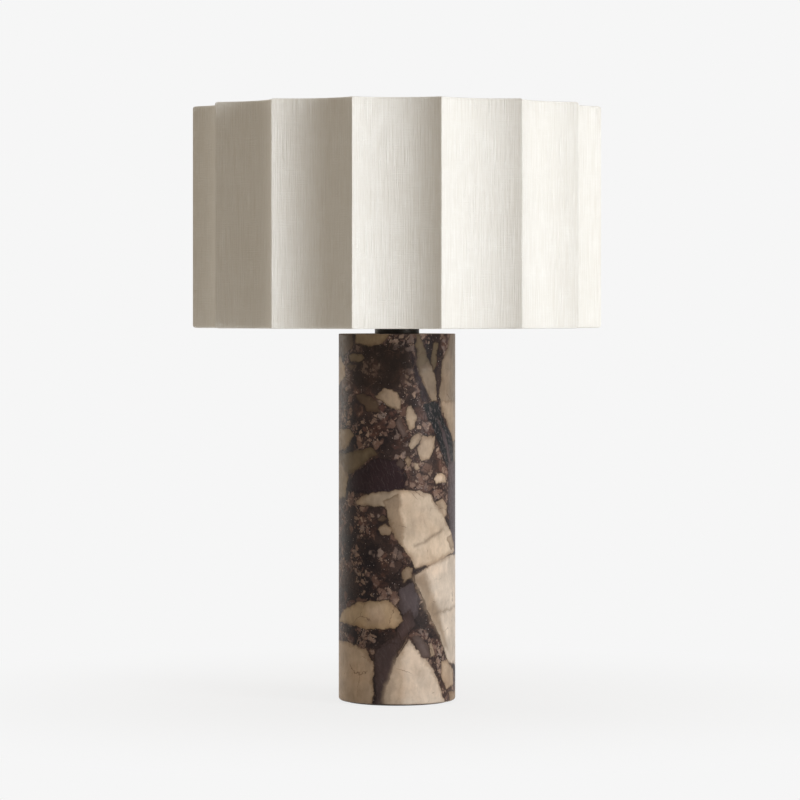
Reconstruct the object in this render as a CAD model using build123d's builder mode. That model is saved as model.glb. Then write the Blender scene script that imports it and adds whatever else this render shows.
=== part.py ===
from build123d import *

import os
from math import asin, cos, degrees, radians, sin, sqrt, tan

# A column table lamp: a stone column, and a fluted drum shade that hangs on a harp over the bulb.
# Millimetres, +Z up. The origin is on the column's axis, on the surface that the lamp stands on.
# The front is -Y. The cable leaves at the back, +Y, and the switch knob points to the right, +X.

# ---------------------------------------------------------------- driving dimensions

# Fits
running_gap = 0.05
seat_gap = 0.05
wrap_gap = 0.2
loose_gap = 0.3

# Column
column_diameter = 118.0
column_height = 370.0
column_foot_gap = 1.0
column_bottom_round = 3.0
column_top_round = 0.8
foot_rim_width = 6.0
recess_depth = 36.0
recess_wall_thickness = 3.0

# Base plate, its screws and the felt under it
felt_thickness = 2.0
felt_edge_round = 0.5
base_plate_thickness = 2.0
base_screw_count = 3
base_screw_edge_distance = 6.5
base_screw_diameter = 4.0
base_screw_head = 8.0
base_screw_length = 14.0
screw_plug_diameter = 7.0

# Cable outlet and its bush
outlet_height = 18.0
bush_bore = 7.0
bush_diameter = 10.0
bush_flange_diameter = 14.0
bush_flange_thickness = 1.6
bush_edge_round = 0.4
bush_tail = 4.0

# Terminal block
block_pole_pitch = 10.0
block_pole_count = 3
block_width = 16.0
block_height = 9.0
block_tower_height = 4.0
block_tower_width = 7.0
block_back_edge = -7.0
barrel_diameter = 4.6
barrel_bore = 2.6
clamp_screw_diameter = 2.6
clamp_screw_spacing = 7.0
block_screw_head_height = 1.3

# Lamp tube and what clamps it
tube_diameter = 10.0
tube_bore = 7.4
tube_tail = 3.0
column_bore_diameter = 12.0
washer_diameter = 24.0
washer_thickness = 2.0
tag_thickness = 0.8
tag_diameter = 15.0
tag_barrel_length = 8.0
tag_barrel_diameter = 4.0
lock_washer_thickness = 1.5
lock_washer_diameter = 16.0
lock_washer_split = 2.0
nut_across_flats = 17.0
nut_height = 6.0
nut_chamfer = 0.3
check_ring_diameter = 45.0
check_ring_height = 6.0
check_ring_round = 0.6

# Wires
wire_diameter = 2.2
wire_spacing = 0.4
wire_bend = 7.0
wire_run_out = 7.5

# Harp saddle
saddle_thickness = 1.6
saddle_width = 12.7
saddle_spread = 62.0
saddle_rise = 8.0
post_width = 4.4
post_height = 13.0
saddle_nut_height = 3.0

# Lampholder
socket_hub_diameter = 13.0
socket_hub_height = 9.0
socket_diameter = 34.0
socket_cap_height = 22.0
socket_height = 68.0
socket_dome_height = 6.0
socket_wall = 0.6
socket_lap = 4.0
socket_lip = 1.2
sleeve_thickness = 0.7
set_screw_diameter = 3.0
set_screw_slot = 0.75
body_height = 20.0
body_foot = 2.0
notch_height = 11.0
notch_face = 8.5
terminal_diameter = 3.0
terminal_depth = 4.25
terminal_head = 5.6
terminal_head_height = 1.8
contact_rise = 3.0
contact_width = 6.0
contact_thickness = 0.6
thread_depth = 0.7
thread_pitch = 3.6
screw_shell_bore = 26.6
screw_shell_turns = 6
screw_shell_wall = 0.5

# Switch
switch_height = 8.5
switch_shaft_diameter = 4.0
switch_shaft_root = 5.0
switch_collar_diameter = 6.4
switch_slot = 7.0
knob_stand_off = 3.0
knob_length = 13.0
knob_boss_length = 6.5
knob_diameter = 9.0
knob_bore_depth = 8.7
knob_wing_length = 9.75
knob_wing_span = 15.0
knob_wing_thickness = 4.0
knob_edge_round = 0.8

# Bulb
bulb_length = 108.0
bulb_diameter = 60.0
bulb_neck_diameter = 28.0
bulb_neck_length = 6.0
bulb_wall = 0.8
bulb_flank_angle = 42.0
bulb_cap_diameter = 25.8
bulb_cap_turns = 5
bulb_cap_shoulder = 5.0
bulb_cap_wall = 0.4
bulb_insulator_height = 3.0
bulb_contact_diameter = 9.0
bulb_contact_height = 1.6
bulb_contact_round = 0.8

# Harp
harp_wire = 3.6
harp_width = 104.0
harp_straight_leg = 42.0
harp_bend = 40.0
harp_leg_share = 0.125
harp_side_share = 0.375
harp_shoulder_share = 0.6875
harp_crown_width = 40.0
harp_pad_diameter = 12.0
harp_end_diameter = 7.0
harp_end_length = 20.0
harp_end_socket = 5.0
ferrule_length = 16.0
ferrule_wall = 1.1
ferrule_bead = 0.5
ferrule_bead_length = 3.2

# Swivel stud and finial
stud_pivot_diameter = 5.0
stud_head_diameter = 8.0
stud_head_height = 1.6
stud_end_play = 0.15
stud_shoulder_diameter = 14.0
stud_shoulder_height = 3.0
stud_thread_diameter = 6.35
stud_thread_depth = 0.5
stud_chamfer = 0.7
finial_foot_diameter = 14.0
finial_foot_height = 3.0
finial_foot_round = 1.0
finial_neck_diameter = 10.0
finial_neck_height = 4.0
finial_ball_diameter = 14.4
finial_gap = 0.1

# Shade
shade_diameter = 414.0
shade_height = 223.0
shade_gap = 6.0
flute_count = 15
flute_depth = 16.0
cover_thickness = 0.6
lining_thickness = 0.8
ring_wire = 3.0
ring_corner = 2.0
rib_wire = 2.6
spider_arm_count = 3
spider_arm_diameter = 4.0
spider_arm_lap = 3.0
spider_level_length = 14.0
spider_bend = 30.0
spider_drop = 25.0
spider_washer_diameter = 24.0
spider_washer_thickness = 1.6

# ---------------------------------------------------------------- worked-out places

base_plate_radius = column_diameter / 2 - foot_rim_width
base_screw_reach = base_plate_radius - base_screw_edge_distance
recess_radius = base_screw_reach - screw_plug_diameter / 2 - recess_wall_thickness
base_top = felt_thickness + base_plate_thickness
recess_ceiling = base_top + recess_depth
column_top = column_foot_gap + column_height
check_ring_top = column_top + check_ring_height
saddle_top = check_ring_top + saddle_thickness
socket_bottom = saddle_top + saddle_nut_height
tube_top = socket_bottom + socket_hub_height - seat_gap
tag_top = recess_ceiling - washer_thickness
lock_washer_top = tag_top - tag_thickness
nut_top = lock_washer_top - lock_washer_thickness
tube_bottom = nut_top - nut_height - tube_tail

socket_top = socket_bottom + socket_height
cap_rim = socket_bottom + socket_cap_height
shell_bottom = cap_rim - socket_lap
cap_inner_radius = socket_diameter / 2 - socket_wall
shell_radius = cap_inner_radius - seat_gap
sleeve_radius = shell_radius - socket_wall - seat_gap
body_radius = sleeve_radius - sleeve_thickness - seat_gap
body_bottom = shell_bottom + body_foot
body_top = body_bottom + body_height
terminal_height = body_bottom + notch_height / 2
wire_end_height = terminal_height - terminal_diameter / 2
switch_axis_height = body_bottom + switch_height

bulb_bottom = body_top + contact_rise
bulb_top = bulb_bottom + bulb_length

shade_radius = shade_diameter / 2
shade_bottom = column_top + shade_gap
shade_top = shade_bottom + shade_height
spider_seat = shade_top - spider_drop
harp_top = spider_seat - stud_shoulder_height
harp_axis_top = harp_top - harp_wire / 2
leg_offset = saddle_spread / 2
saddle_shoulder = saddle_top + saddle_rise

# The shade's flutes are arcs about points outside it, one every flute_pitch degrees.
front = -90.0
flute_pitch = 360.0 / flute_count
half_pitch = radians(flute_pitch / 2)
flute_half_width = shade_radius * sin(half_pitch)
flute_radius = (flute_half_width**2 + flute_depth**2) / (2 * flute_depth)
flute_centre = shade_radius * cos(half_pitch) - flute_depth + flute_radius

lining_outside = cover_thickness
lining_inside = cover_thickness + lining_thickness
ring_inset = lining_inside + wrap_gap + ring_wire / 2
hem_outside = ring_inset + ring_wire / 2 + wrap_gap
hem_inside = hem_outside + cover_thickness
top_ring_height = shade_top - cover_thickness - wrap_gap - ring_wire / 2
bottom_ring_height = shade_bottom + cover_thickness + wrap_gap + ring_wire / 2
hem_height = 2 * cover_thickness + 2 * wrap_gap + ring_wire


def ridge_reach(inset):
    """Distance from the axis to a ridge of the shade's outline, moved inwards by inset."""
    flute_side = flute_centre * sin(half_pitch)
    return flute_centre * cos(half_pitch) - sqrt((flute_radius + inset) ** 2 - flute_side**2)


def valley_reach(inset):
    """Distance from the axis to the deepest line of a flute, moved inwards by inset."""
    return flute_centre - flute_radius - inset


def polar(reach, angle):
    """The point at that distance from the axis, with the angle in degrees."""
    return (reach * cos(radians(angle)), reach * sin(radians(angle)))


def flute_half_angle(inset):
    """Half of a flute's arc, in degrees about its own centre."""
    half_width = ridge_reach(inset) * sin(half_pitch)
    return degrees(asin(half_width / (flute_radius + inset)))


def corner_at(inset):
    """The rounding of the ring wire's corners, carried over to another inset."""
    return max(ring_corner - (inset - ring_inset), 0.0)


def fluted_outline(inset, corner):
    """The shade's fluted outline as a flat face, moved inwards by inset, its ridges rounded by corner."""
    with BuildSketch() as outline:
        with BuildLine() as arcs:
            for flute in range(flute_count):
                middle = front + flute * flute_pitch
                ThreePointArc(
                    polar(ridge_reach(inset), middle - flute_pitch / 2),
                    polar(valley_reach(inset), middle),
                    polar(ridge_reach(inset), middle + flute_pitch / 2),
                )
        make_face(arcs.line)
        if corner > 0:
            fillet(outline.vertices(), corner)
    return outline.sketch


def bend_radii(points, largest):
    """Corner radii for a route: as large as its runs allow, up to the largest."""
    run_share = 0.45
    radii = []
    for before, corner, after in zip(points, points[1:], points[2:]):
        first = Vector(*corner) - Vector(*before)
        second = Vector(*after) - Vector(*corner)
        half_turn = radians(first.get_angle(second)) / 2
        reach = run_share * min(first.length, second.length)
        radii.append(min(largest, reach / tan(half_turn)))
    return radii


def sweep_rod(points, diameter, largest_bend):
    """Sweep a round rod along straight runs joined by bends, in the open part."""
    with BuildLine() as route:
        FilletPolyline(*points, radius=bend_radii(points, largest_bend))
    with BuildSketch(Plane(origin=route.line @ 0, z_dir=route.line % 0)) as section:
        Circle(diameter / 2)
    sweep(sections=section.sketch, path=route.line)


def draw_ripples(radius, bottom, turns):
    """Draw the rolled thread's wavy side in the open line, from the bottom up."""
    quarter = thread_pitch / 4
    for half_turn in range(2 * turns):
        start = bottom + half_turn * 2 * quarter
        swing = thread_depth / 2 * (-1) ** half_turn
        ThreePointArc((radius, start), (radius + swing, start + quarter), (radius, start + 2 * quarter))


# ---------------------------------------------------------------- column and base

outlet_plane = Plane(origin=(0, column_diameter / 2, outlet_height), x_dir=(1, 0, 0), z_dir=(0, 1, 0))
outlet_depth = column_diameter / 2 - recess_radius + bush_tail
plug_length = base_screw_length - base_plate_thickness

with BuildPart() as marble_column:
    with BuildSketch(Plane.XY.offset(column_foot_gap)):
        Circle(column_diameter / 2)
    extrude(amount=column_height)
    fillet(marble_column.edges().group_by(Axis.Z)[0], column_bottom_round)
    fillet(marble_column.edges().group_by(Axis.Z)[-1], column_top_round)
    with BuildSketch(Plane.XY.offset(column_foot_gap)):
        Circle(base_plate_radius + loose_gap)
    extrude(amount=base_top - column_foot_gap, mode=Mode.SUBTRACT)
    with BuildSketch(Plane.XY.offset(base_top)):
        Circle(recess_radius)
    extrude(amount=recess_depth, mode=Mode.SUBTRACT)
    with BuildSketch(Plane.XY.offset(recess_ceiling)):
        Circle(column_bore_diameter / 2)
    extrude(amount=column_top - recess_ceiling, mode=Mode.SUBTRACT)
    with BuildSketch(Plane.XY.offset(base_top)):
        with PolarLocations(base_screw_reach, base_screw_count, start_angle=front):
            Circle(screw_plug_diameter / 2)
    extrude(amount=plug_length, mode=Mode.SUBTRACT)
    with BuildSketch(outlet_plane):
        Circle(bush_flange_diameter / 2 + seat_gap)
    extrude(amount=-bush_flange_thickness, mode=Mode.SUBTRACT)
    with BuildSketch(outlet_plane):
        Circle(bush_diameter / 2)
    extrude(amount=-outlet_depth, mode=Mode.SUBTRACT)
marble_column.part.label = "marble_column"
export_step(marble_column.part, "parts/marble_column.step")

with BuildPart() as felt_pad:
    with BuildSketch():
        Circle(base_plate_radius)
    extrude(amount=felt_thickness)
    fillet(felt_pad.edges().group_by(Axis.Z)[0], felt_edge_round)
felt_pad.part.label = "felt_pad"
export_step(felt_pad.part, "parts/felt_pad.step")

with BuildPart() as base_plate:
    with BuildSketch(Plane.XY.offset(felt_thickness)):
        Circle(base_plate_radius)
    extrude(amount=base_plate_thickness)
    with Locations((0, 0, felt_thickness)):
        with PolarLocations(base_screw_reach, base_screw_count, start_angle=front):
            Cone(
                base_screw_head / 2,
                base_screw_diameter / 2,
                base_plate_thickness,
                align=(Align.CENTER, Align.CENTER, Align.MIN),
                mode=Mode.SUBTRACT,
            )
base_plate.part.label = "base_plate"
export_step(base_plate.part, "parts/base_plate.step")

with BuildPart() as base_screws:
    with Locations((0, 0, felt_thickness)):
        with PolarLocations(base_screw_reach, base_screw_count, start_angle=front):
            Cone(
                base_screw_head / 2,
                base_screw_diameter / 2,
                base_plate_thickness,
                align=(Align.CENTER, Align.CENTER, Align.MIN),
            )
            Cylinder(
                base_screw_diameter / 2,
                base_screw_length,
                align=(Align.CENTER, Align.CENTER, Align.MIN),
            )
base_screws.part.label = "base_screws"
export_step(base_screws.part, "parts/base_screws.step")

with BuildPart() as screw_plugs:
    with BuildSketch(Plane.XY.offset(base_top)):
        with PolarLocations(base_screw_reach, base_screw_count, start_angle=front):
            Circle(screw_plug_diameter / 2)
            Circle(base_screw_diameter / 2, mode=Mode.SUBTRACT)
    extrude(amount=plug_length)
screw_plugs.part.label = "screw_plugs"
export_step(screw_plugs.part, "parts/screw_plugs.step")

with BuildPart() as cable_bush:
    with BuildSketch(outlet_plane):
        Circle(bush_flange_diameter / 2)
    extrude(amount=-bush_flange_thickness)
    with BuildSketch(outlet_plane):
        Circle(bush_diameter / 2)
    extrude(amount=-outlet_depth)
    with BuildSketch(outlet_plane):
        Circle(bush_bore / 2)
    extrude(amount=-outlet_depth, mode=Mode.SUBTRACT)
    fillet(cable_bush.edges().group_by(Axis.Y)[-1], bush_edge_round)
cable_bush.part.label = "cable_bush"
export_step(cable_bush.part, "parts/cable_bush.step")

# ---------------------------------------------------------------- terminal block and wires

block_length = block_pole_pitch * block_pole_count
block_middle = block_back_edge - block_width / 2
block_front_edge = block_back_edge - block_width
barrel_height = base_top + block_height / 2
block_top = base_top + block_height + block_tower_height
clamp_screw_length = block_top - barrel_height - wire_diameter / 2 - seat_gap
fixing_places = [(-block_pole_pitch / 2, block_middle), (block_pole_pitch / 2, block_middle)]

with BuildPart() as terminal_block:
    with BuildSketch(Plane.XY.offset(base_top)):
        with Locations((0, block_middle)):
            Rectangle(block_length, block_width)
    extrude(amount=block_height)
    with BuildSketch(Plane.XY.offset(base_top + block_height)):
        with Locations((0, block_middle)):
            with GridLocations(block_pole_pitch, 0, block_pole_count, 1):
                Rectangle(block_tower_width, block_width)
    extrude(amount=block_tower_height)
    with BuildSketch(Plane.XZ.offset(-block_back_edge)):
        with Locations((0, barrel_height)):
            with GridLocations(block_pole_pitch, 0, block_pole_count, 1):
                Circle(barrel_diameter / 2)
    extrude(amount=block_width, mode=Mode.SUBTRACT)
    with BuildSketch(Plane.XY.offset(block_top)):
        with Locations((0, block_middle)):
            with GridLocations(block_pole_pitch, clamp_screw_spacing, block_pole_count, 2):
                Circle(clamp_screw_diameter / 2)
    extrude(amount=-(block_top - barrel_height), mode=Mode.SUBTRACT)
    with BuildSketch(Plane.XY.offset(base_top)):
        with Locations(*fixing_places):
            Circle(clamp_screw_diameter / 2)
    extrude(amount=block_height, mode=Mode.SUBTRACT)
terminal_block.part.label = "terminal_block"
export_step(terminal_block.part, "parts/terminal_block.step")

with BuildPart() as terminal_barrels:
    with BuildSketch(Plane.XZ.offset(-block_back_edge)):
        with Locations((0, barrel_height)):
            with GridLocations(block_pole_pitch, 0, block_pole_count, 1):
                Circle(barrel_diameter / 2)
                Circle(barrel_bore / 2, mode=Mode.SUBTRACT)
    extrude(amount=block_width)
    with BuildSketch(Plane.XY.offset(block_top)):
        with Locations((0, block_middle)):
            with GridLocations(block_pole_pitch, clamp_screw_spacing, block_pole_count, 2):
                Circle(clamp_screw_diameter / 2)
    extrude(amount=-(block_top - barrel_height), mode=Mode.SUBTRACT)
terminal_barrels.part.label = "terminal_barrels"
export_step(terminal_barrels.part, "parts/terminal_barrels.step")

with BuildPart() as clamp_screws:
    with BuildSketch(Plane.XY.offset(block_top)):
        with Locations((0, block_middle)):
            with GridLocations(block_pole_pitch, clamp_screw_spacing, block_pole_count, 2):
                Circle(clamp_screw_diameter / 2)
    extrude(amount=-clamp_screw_length)
clamp_screws.part.label = "clamp_screws"
export_step(clamp_screws.part, "parts/clamp_screws.step")

with BuildPart() as block_screws:
    with BuildSketch(Plane.XY.offset(base_top)):
        with Locations(*fixing_places):
            Circle(clamp_screw_diameter / 2)
    extrude(amount=block_height)
    with BuildSketch(Plane.XY.offset(base_top + block_height)):
        with Locations(*fixing_places):
            Circle((block_pole_pitch - block_tower_width) / 2 - seat_gap)
    extrude(amount=block_screw_head_height)
block_screws.part.label = "block_screws"
export_step(block_screws.part, "parts/block_screws.step")

wire_offset = (wire_diameter + wire_spacing) / 2
wire_end = notch_face + seat_gap + wire_diameter / 2
wire_loop = block_front_edge - wire_run_out
wire_grip = block_front_edge + block_width / 2
wire_crossing = (block_top + tube_bottom) / 2
wire_fan_start = tube_top + wire_diameter / 2
wire_fan_end = body_bottom - wire_diameter


def wire_route(side):
    """The route from the block, up the tube and out to the lampholder; side is -1 or 1."""
    return [
        (side * block_pole_pitch, wire_grip, barrel_height),
        (side * block_pole_pitch, wire_loop, barrel_height),
        (side * block_pole_pitch, wire_loop, wire_crossing),
        (side * wire_offset, 0, wire_crossing),
        (side * wire_offset, 0, wire_fan_start),
        (side * wire_offset, side * wire_end, wire_fan_end),
        (side * wire_offset, side * wire_end, wire_end_height),
    ]


with BuildPart() as live_wire:
    sweep_rod(wire_route(-1), wire_diameter, wire_bend)
live_wire.part.label = "live_wire"
export_step(live_wire.part, "parts/live_wire.step")

with BuildPart() as neutral_wire:
    sweep_rod(wire_route(1), wire_diameter, wire_bend)
neutral_wire.part.label = "neutral_wire"
export_step(neutral_wire.part, "parts/neutral_wire.step")

tag_middle = tag_top - tag_thickness / 2
tag_barrel_start = -(washer_diameter / 2 + loose_gap)
earth_route = [
    (0, wire_grip, barrel_height),
    (0, wire_loop, barrel_height),
    (0, wire_loop, tag_middle),
    (0, tag_barrel_start - tag_barrel_length / 2, tag_middle),
]

with BuildPart() as earth_wire:
    sweep_rod(earth_route, wire_diameter, wire_bend)
earth_wire.part.label = "earth_wire"
export_step(earth_wire.part, "parts/earth_wire.step")

with BuildPart() as earth_tag:
    with BuildSketch(Plane.XY.offset(tag_top)):
        Circle(tag_diameter / 2)
        with Locations((0, tag_barrel_start / 2)):
            Rectangle(tag_barrel_diameter, -tag_barrel_start)
        Circle(tube_diameter / 2, mode=Mode.SUBTRACT)
    extrude(amount=-tag_thickness)
    with BuildSketch(Plane.XZ.offset(-tag_barrel_start)):
        with Locations((0, tag_middle)):
            Circle(tag_barrel_diameter / 2)
    extrude(amount=tag_barrel_length)
    with BuildSketch(Plane.XZ.offset(-tag_barrel_start)):
        with Locations((0, tag_middle)):
            Circle(wire_diameter / 2)
    extrude(amount=tag_barrel_length, mode=Mode.SUBTRACT)
earth_tag.part.label = "earth_tag"
export_step(earth_tag.part, "parts/earth_tag.step")

# ---------------------------------------------------------------- lamp tube and what it clamps

with BuildPart() as lamp_tube:
    with BuildSketch(Plane.XY.offset(tube_bottom)):
        Circle(tube_diameter / 2)
        Circle(tube_bore / 2, mode=Mode.SUBTRACT)
    extrude(amount=tube_top - tube_bottom)
lamp_tube.part.label = "lamp_tube"
export_step(lamp_tube.part, "parts/lamp_tube.step")

with BuildPart() as clamp_washer:
    with BuildSketch(Plane.XY.offset(tag_top)):
        Circle(washer_diameter / 2)
        Circle(tube_diameter / 2, mode=Mode.SUBTRACT)
    extrude(amount=washer_thickness)
clamp_washer.part.label = "clamp_washer"
export_step(clamp_washer.part, "parts/clamp_washer.step")

with BuildPart() as lock_washer:
    with BuildSketch(Plane.XY.offset(nut_top)):
        Circle(lock_washer_diameter / 2)
        Circle(tube_diameter / 2, mode=Mode.SUBTRACT)
        with Locations((lock_washer_diameter / 2, 0)):
            Rectangle(lock_washer_diameter, lock_washer_split, mode=Mode.SUBTRACT)
    extrude(amount=lock_washer_thickness)
lock_washer.part.label = "lock_washer"
export_step(lock_washer.part, "parts/lock_washer.step")

with BuildPart() as clamp_nut:
    with BuildSketch(Plane.XY.offset(nut_top)):
        RegularPolygon(nut_across_flats / 2, 6, major_radius=False)
        Circle(tube_diameter / 2, mode=Mode.SUBTRACT)
    extrude(amount=-nut_height)
    chamfer(clamp_nut.edges().filter_by(GeomType.CIRCLE), nut_chamfer)
clamp_nut.part.label = "clamp_nut"
export_step(clamp_nut.part, "parts/clamp_nut.step")

with BuildPart() as check_ring:
    with BuildSketch(Plane.XY.offset(column_top)):
        Circle(check_ring_diameter / 2)
        Circle(tube_diameter / 2, mode=Mode.SUBTRACT)
    extrude(amount=check_ring_height)
    fillet(check_ring.edges().filter_by(GeomType.CIRCLE).sort_by(SortBy.RADIUS)[-2:], check_ring_round)
check_ring.part.label = "check_ring"
export_step(check_ring.part, "parts/check_ring.step")

# ---------------------------------------------------------------- harp saddle and lampholder

post_thickness = saddle_thickness

with BuildPart() as harp_saddle:
    with BuildSketch(Plane.XY.offset(check_ring_top)):
        Rectangle(saddle_width, saddle_spread + post_thickness)
        Circle(tube_diameter / 2, mode=Mode.SUBTRACT)
    extrude(amount=saddle_thickness)
    with BuildSketch(Plane.XY.offset(saddle_top)):
        with Locations((0, leg_offset), (0, -leg_offset)):
            Rectangle(saddle_width, post_thickness)
    extrude(amount=saddle_rise)
    with BuildSketch(Plane.XY.offset(saddle_shoulder)):
        with Locations((0, leg_offset), (0, -leg_offset)):
            Rectangle(post_width, post_thickness)
    extrude(amount=post_height)
    fillet(harp_saddle.edges().filter_by(Axis.X).group_by(Axis.Z)[0], saddle_thickness)
harp_saddle.part.label = "harp_saddle"
export_step(harp_saddle.part, "parts/harp_saddle.step")

with BuildPart() as saddle_nut:
    with BuildSketch(Plane.XY.offset(saddle_top)):
        RegularPolygon(nut_across_flats / 2, 6, major_radius=False)
        Circle(tube_diameter / 2, mode=Mode.SUBTRACT)
    extrude(amount=saddle_nut_height)
    chamfer(saddle_nut.edges().filter_by(GeomType.CIRCLE), nut_chamfer)
saddle_nut.part.label = "saddle_nut"
export_step(saddle_nut.part, "parts/saddle_nut.step")

hub_top = socket_bottom + socket_hub_height
dome_top = hub_top + socket_dome_height
set_screw_height = socket_bottom + socket_hub_height / 2
set_screw_reach = socket_hub_diameter / 2 + set_screw_diameter / 2

with BuildPart() as socket_cap:
    with BuildSketch(Plane.XZ):
        with BuildLine():
            Polyline(
                (tube_diameter / 2, hub_top - socket_wall),
                (tube_diameter / 2, socket_bottom),
                (socket_hub_diameter / 2, socket_bottom),
                (socket_hub_diameter / 2, hub_top),
            )
            RadiusArc((socket_hub_diameter / 2, hub_top), (socket_diameter / 2, dome_top), socket_diameter / 2)
            Polyline(
                (socket_diameter / 2, dome_top),
                (socket_diameter / 2, cap_rim),
                (cap_inner_radius, cap_rim),
                (cap_inner_radius, dome_top),
            )
            RadiusArc(
                (cap_inner_radius, dome_top),
                (socket_hub_diameter / 2, hub_top + socket_wall),
                -(socket_diameter / 2 - socket_wall),
            )
            Polyline(
                (socket_hub_diameter / 2, hub_top + socket_wall),
                (tube_bore / 2, hub_top + socket_wall),
                (tube_bore / 2, hub_top),
                (tube_diameter / 2, hub_top),
                (tube_diameter / 2, hub_top - socket_wall),
            )
        make_face()
    revolve(axis=Axis.Z)
    with BuildSketch(Plane.YZ):
        with Locations((0, set_screw_height)):
            Circle(set_screw_diameter / 2)
    extrude(amount=-socket_hub_diameter, mode=Mode.SUBTRACT)
socket_cap.part.label = "socket_cap"
export_step(socket_cap.part, "parts/socket_cap.step")

with BuildPart() as set_screw:
    with BuildSketch(Plane.YZ.offset(-tube_diameter / 2)):
        with Locations((0, set_screw_height)):
            Circle(set_screw_diameter / 2 - seat_gap)
    extrude(amount=-(set_screw_reach - tube_diameter / 2))
    with BuildSketch(Plane.YZ.offset(-set_screw_reach)):
        with Locations((0, set_screw_height)):
            Rectangle(set_screw_diameter, set_screw_slot)
    extrude(amount=set_screw_slot, mode=Mode.SUBTRACT)
set_screw.part.label = "set_screw"
export_step(set_screw.part, "parts/set_screw.step")

with BuildPart() as socket_shell:
    with BuildSketch(Plane.XY.offset(shell_bottom)):
        Circle(shell_radius)
        Circle(shell_radius - socket_wall, mode=Mode.SUBTRACT)
    extrude(amount=socket_top - shell_bottom)
    with BuildSketch(Plane.XY.offset(socket_top - socket_lip)):
        Circle(shell_radius + socket_wall)
        Circle(shell_radius, mode=Mode.SUBTRACT)
    extrude(amount=socket_lip)
    fillet(socket_shell.edges().filter_by(GeomType.CIRCLE).sort_by(SortBy.RADIUS)[-2:], socket_wall / 2)
    with BuildSketch(Plane.YZ):
        with Locations((0, switch_axis_height)):
            Circle(switch_slot / 2)
        with Locations((0, shell_bottom)):
            Rectangle(switch_slot, switch_axis_height - shell_bottom, align=(Align.CENTER, Align.MIN))
    extrude(amount=socket_diameter, mode=Mode.SUBTRACT)
socket_shell.part.label = "socket_shell"
export_step(socket_shell.part, "parts/socket_shell.step")

with BuildPart() as insulating_sleeve:
    with BuildSketch(Plane.XY.offset(shell_bottom)):
        Circle(sleeve_radius)
        Circle(sleeve_radius - sleeve_thickness, mode=Mode.SUBTRACT)
    extrude(amount=socket_top - socket_lip - shell_bottom)
    with BuildSketch(Plane.YZ):
        with Locations((0, switch_axis_height)):
            Circle(switch_slot / 2)
        with Locations((0, shell_bottom)):
            Rectangle(switch_slot, switch_axis_height - shell_bottom, align=(Align.CENTER, Align.MIN))
    extrude(amount=socket_diameter, mode=Mode.SUBTRACT)
insulating_sleeve.part.label = "insulating_sleeve"
export_step(insulating_sleeve.part, "parts/insulating_sleeve.step")

collar_reach = body_radius + switch_slot / 2 - loose_gap
shaft_plane = Plane.YZ.offset(switch_shaft_root)
notch_depth = body_radius - notch_face

with BuildPart() as socket_body:
    with BuildSketch(Plane.XY.offset(body_bottom)):
        Circle(body_radius)
    extrude(amount=body_height)
    with BuildSketch(Plane.XY.offset(body_bottom)):
        with Locations((0, notch_face + notch_depth / 2), (0, -notch_face - notch_depth / 2)):
            Rectangle(2 * body_radius, notch_depth)
    extrude(amount=notch_height, mode=Mode.SUBTRACT)
    with BuildSketch(Plane.YZ):
        with Locations((0, switch_axis_height)):
            Circle(switch_collar_diameter / 2)
    extrude(amount=collar_reach)
    with BuildSketch(shaft_plane):
        with Locations((0, switch_axis_height)):
            Circle(switch_shaft_diameter / 2 + running_gap)
    extrude(amount=collar_reach, mode=Mode.SUBTRACT)
    with BuildSketch(Plane.XZ.offset(-notch_face)):
        with Locations((wire_offset, terminal_height)):
            Circle(terminal_diameter / 2)
    extrude(amount=terminal_depth, mode=Mode.SUBTRACT)
    with BuildSketch(Plane.XZ.offset(notch_face)):
        with Locations((-wire_offset, terminal_height)):
            Circle(terminal_diameter / 2)
    extrude(amount=-terminal_depth, mode=Mode.SUBTRACT)
socket_body.part.label = "socket_body"
export_step(socket_body.part, "parts/socket_body.step")

terminal_shank = terminal_depth + wire_diameter + 2 * seat_gap
terminal_root = notch_face - terminal_depth

with BuildPart() as socket_terminals:
    with BuildSketch(Plane.XZ.offset(-terminal_root)):
        with Locations((wire_offset, terminal_height)):
            Circle(terminal_diameter / 2)
    extrude(amount=-terminal_shank)
    with BuildSketch(Plane.XZ.offset(-terminal_root - terminal_shank)):
        with Locations((wire_offset, terminal_height)):
            Circle(terminal_head / 2)
    extrude(amount=-terminal_head_height)
    with BuildSketch(Plane.XZ.offset(terminal_root)):
        with Locations((-wire_offset, terminal_height)):
            Circle(terminal_diameter / 2)
    extrude(amount=terminal_shank)
    with BuildSketch(Plane.XZ.offset(terminal_root + terminal_shank)):
        with Locations((-wire_offset, terminal_height)):
            Circle(terminal_head / 2)
    extrude(amount=terminal_head_height)
socket_terminals.part.label = "socket_terminals"
export_step(socket_terminals.part, "parts/socket_terminals.step")

shell_side = screw_shell_bore / 2 + thread_depth / 2
shell_side_top = body_top + screw_shell_turns * thread_pitch

with BuildPart() as screw_shell:
    with BuildSketch(Plane.XZ):
        with BuildLine():
            draw_ripples(shell_side, body_top, screw_shell_turns)
        with BuildLine():
            draw_ripples(shell_side + screw_shell_wall, body_top, screw_shell_turns)
        with BuildLine():
            Line((shell_side, body_top), (shell_side + screw_shell_wall, body_top))
            Line((shell_side, shell_side_top), (shell_side + screw_shell_wall, shell_side_top))
        make_face()
    revolve(axis=Axis.Z)
screw_shell.part.label = "screw_shell"
export_step(screw_shell.part, "parts/screw_shell.step")

contact_foot = screw_shell_bore / 2 - contact_thickness

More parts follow.
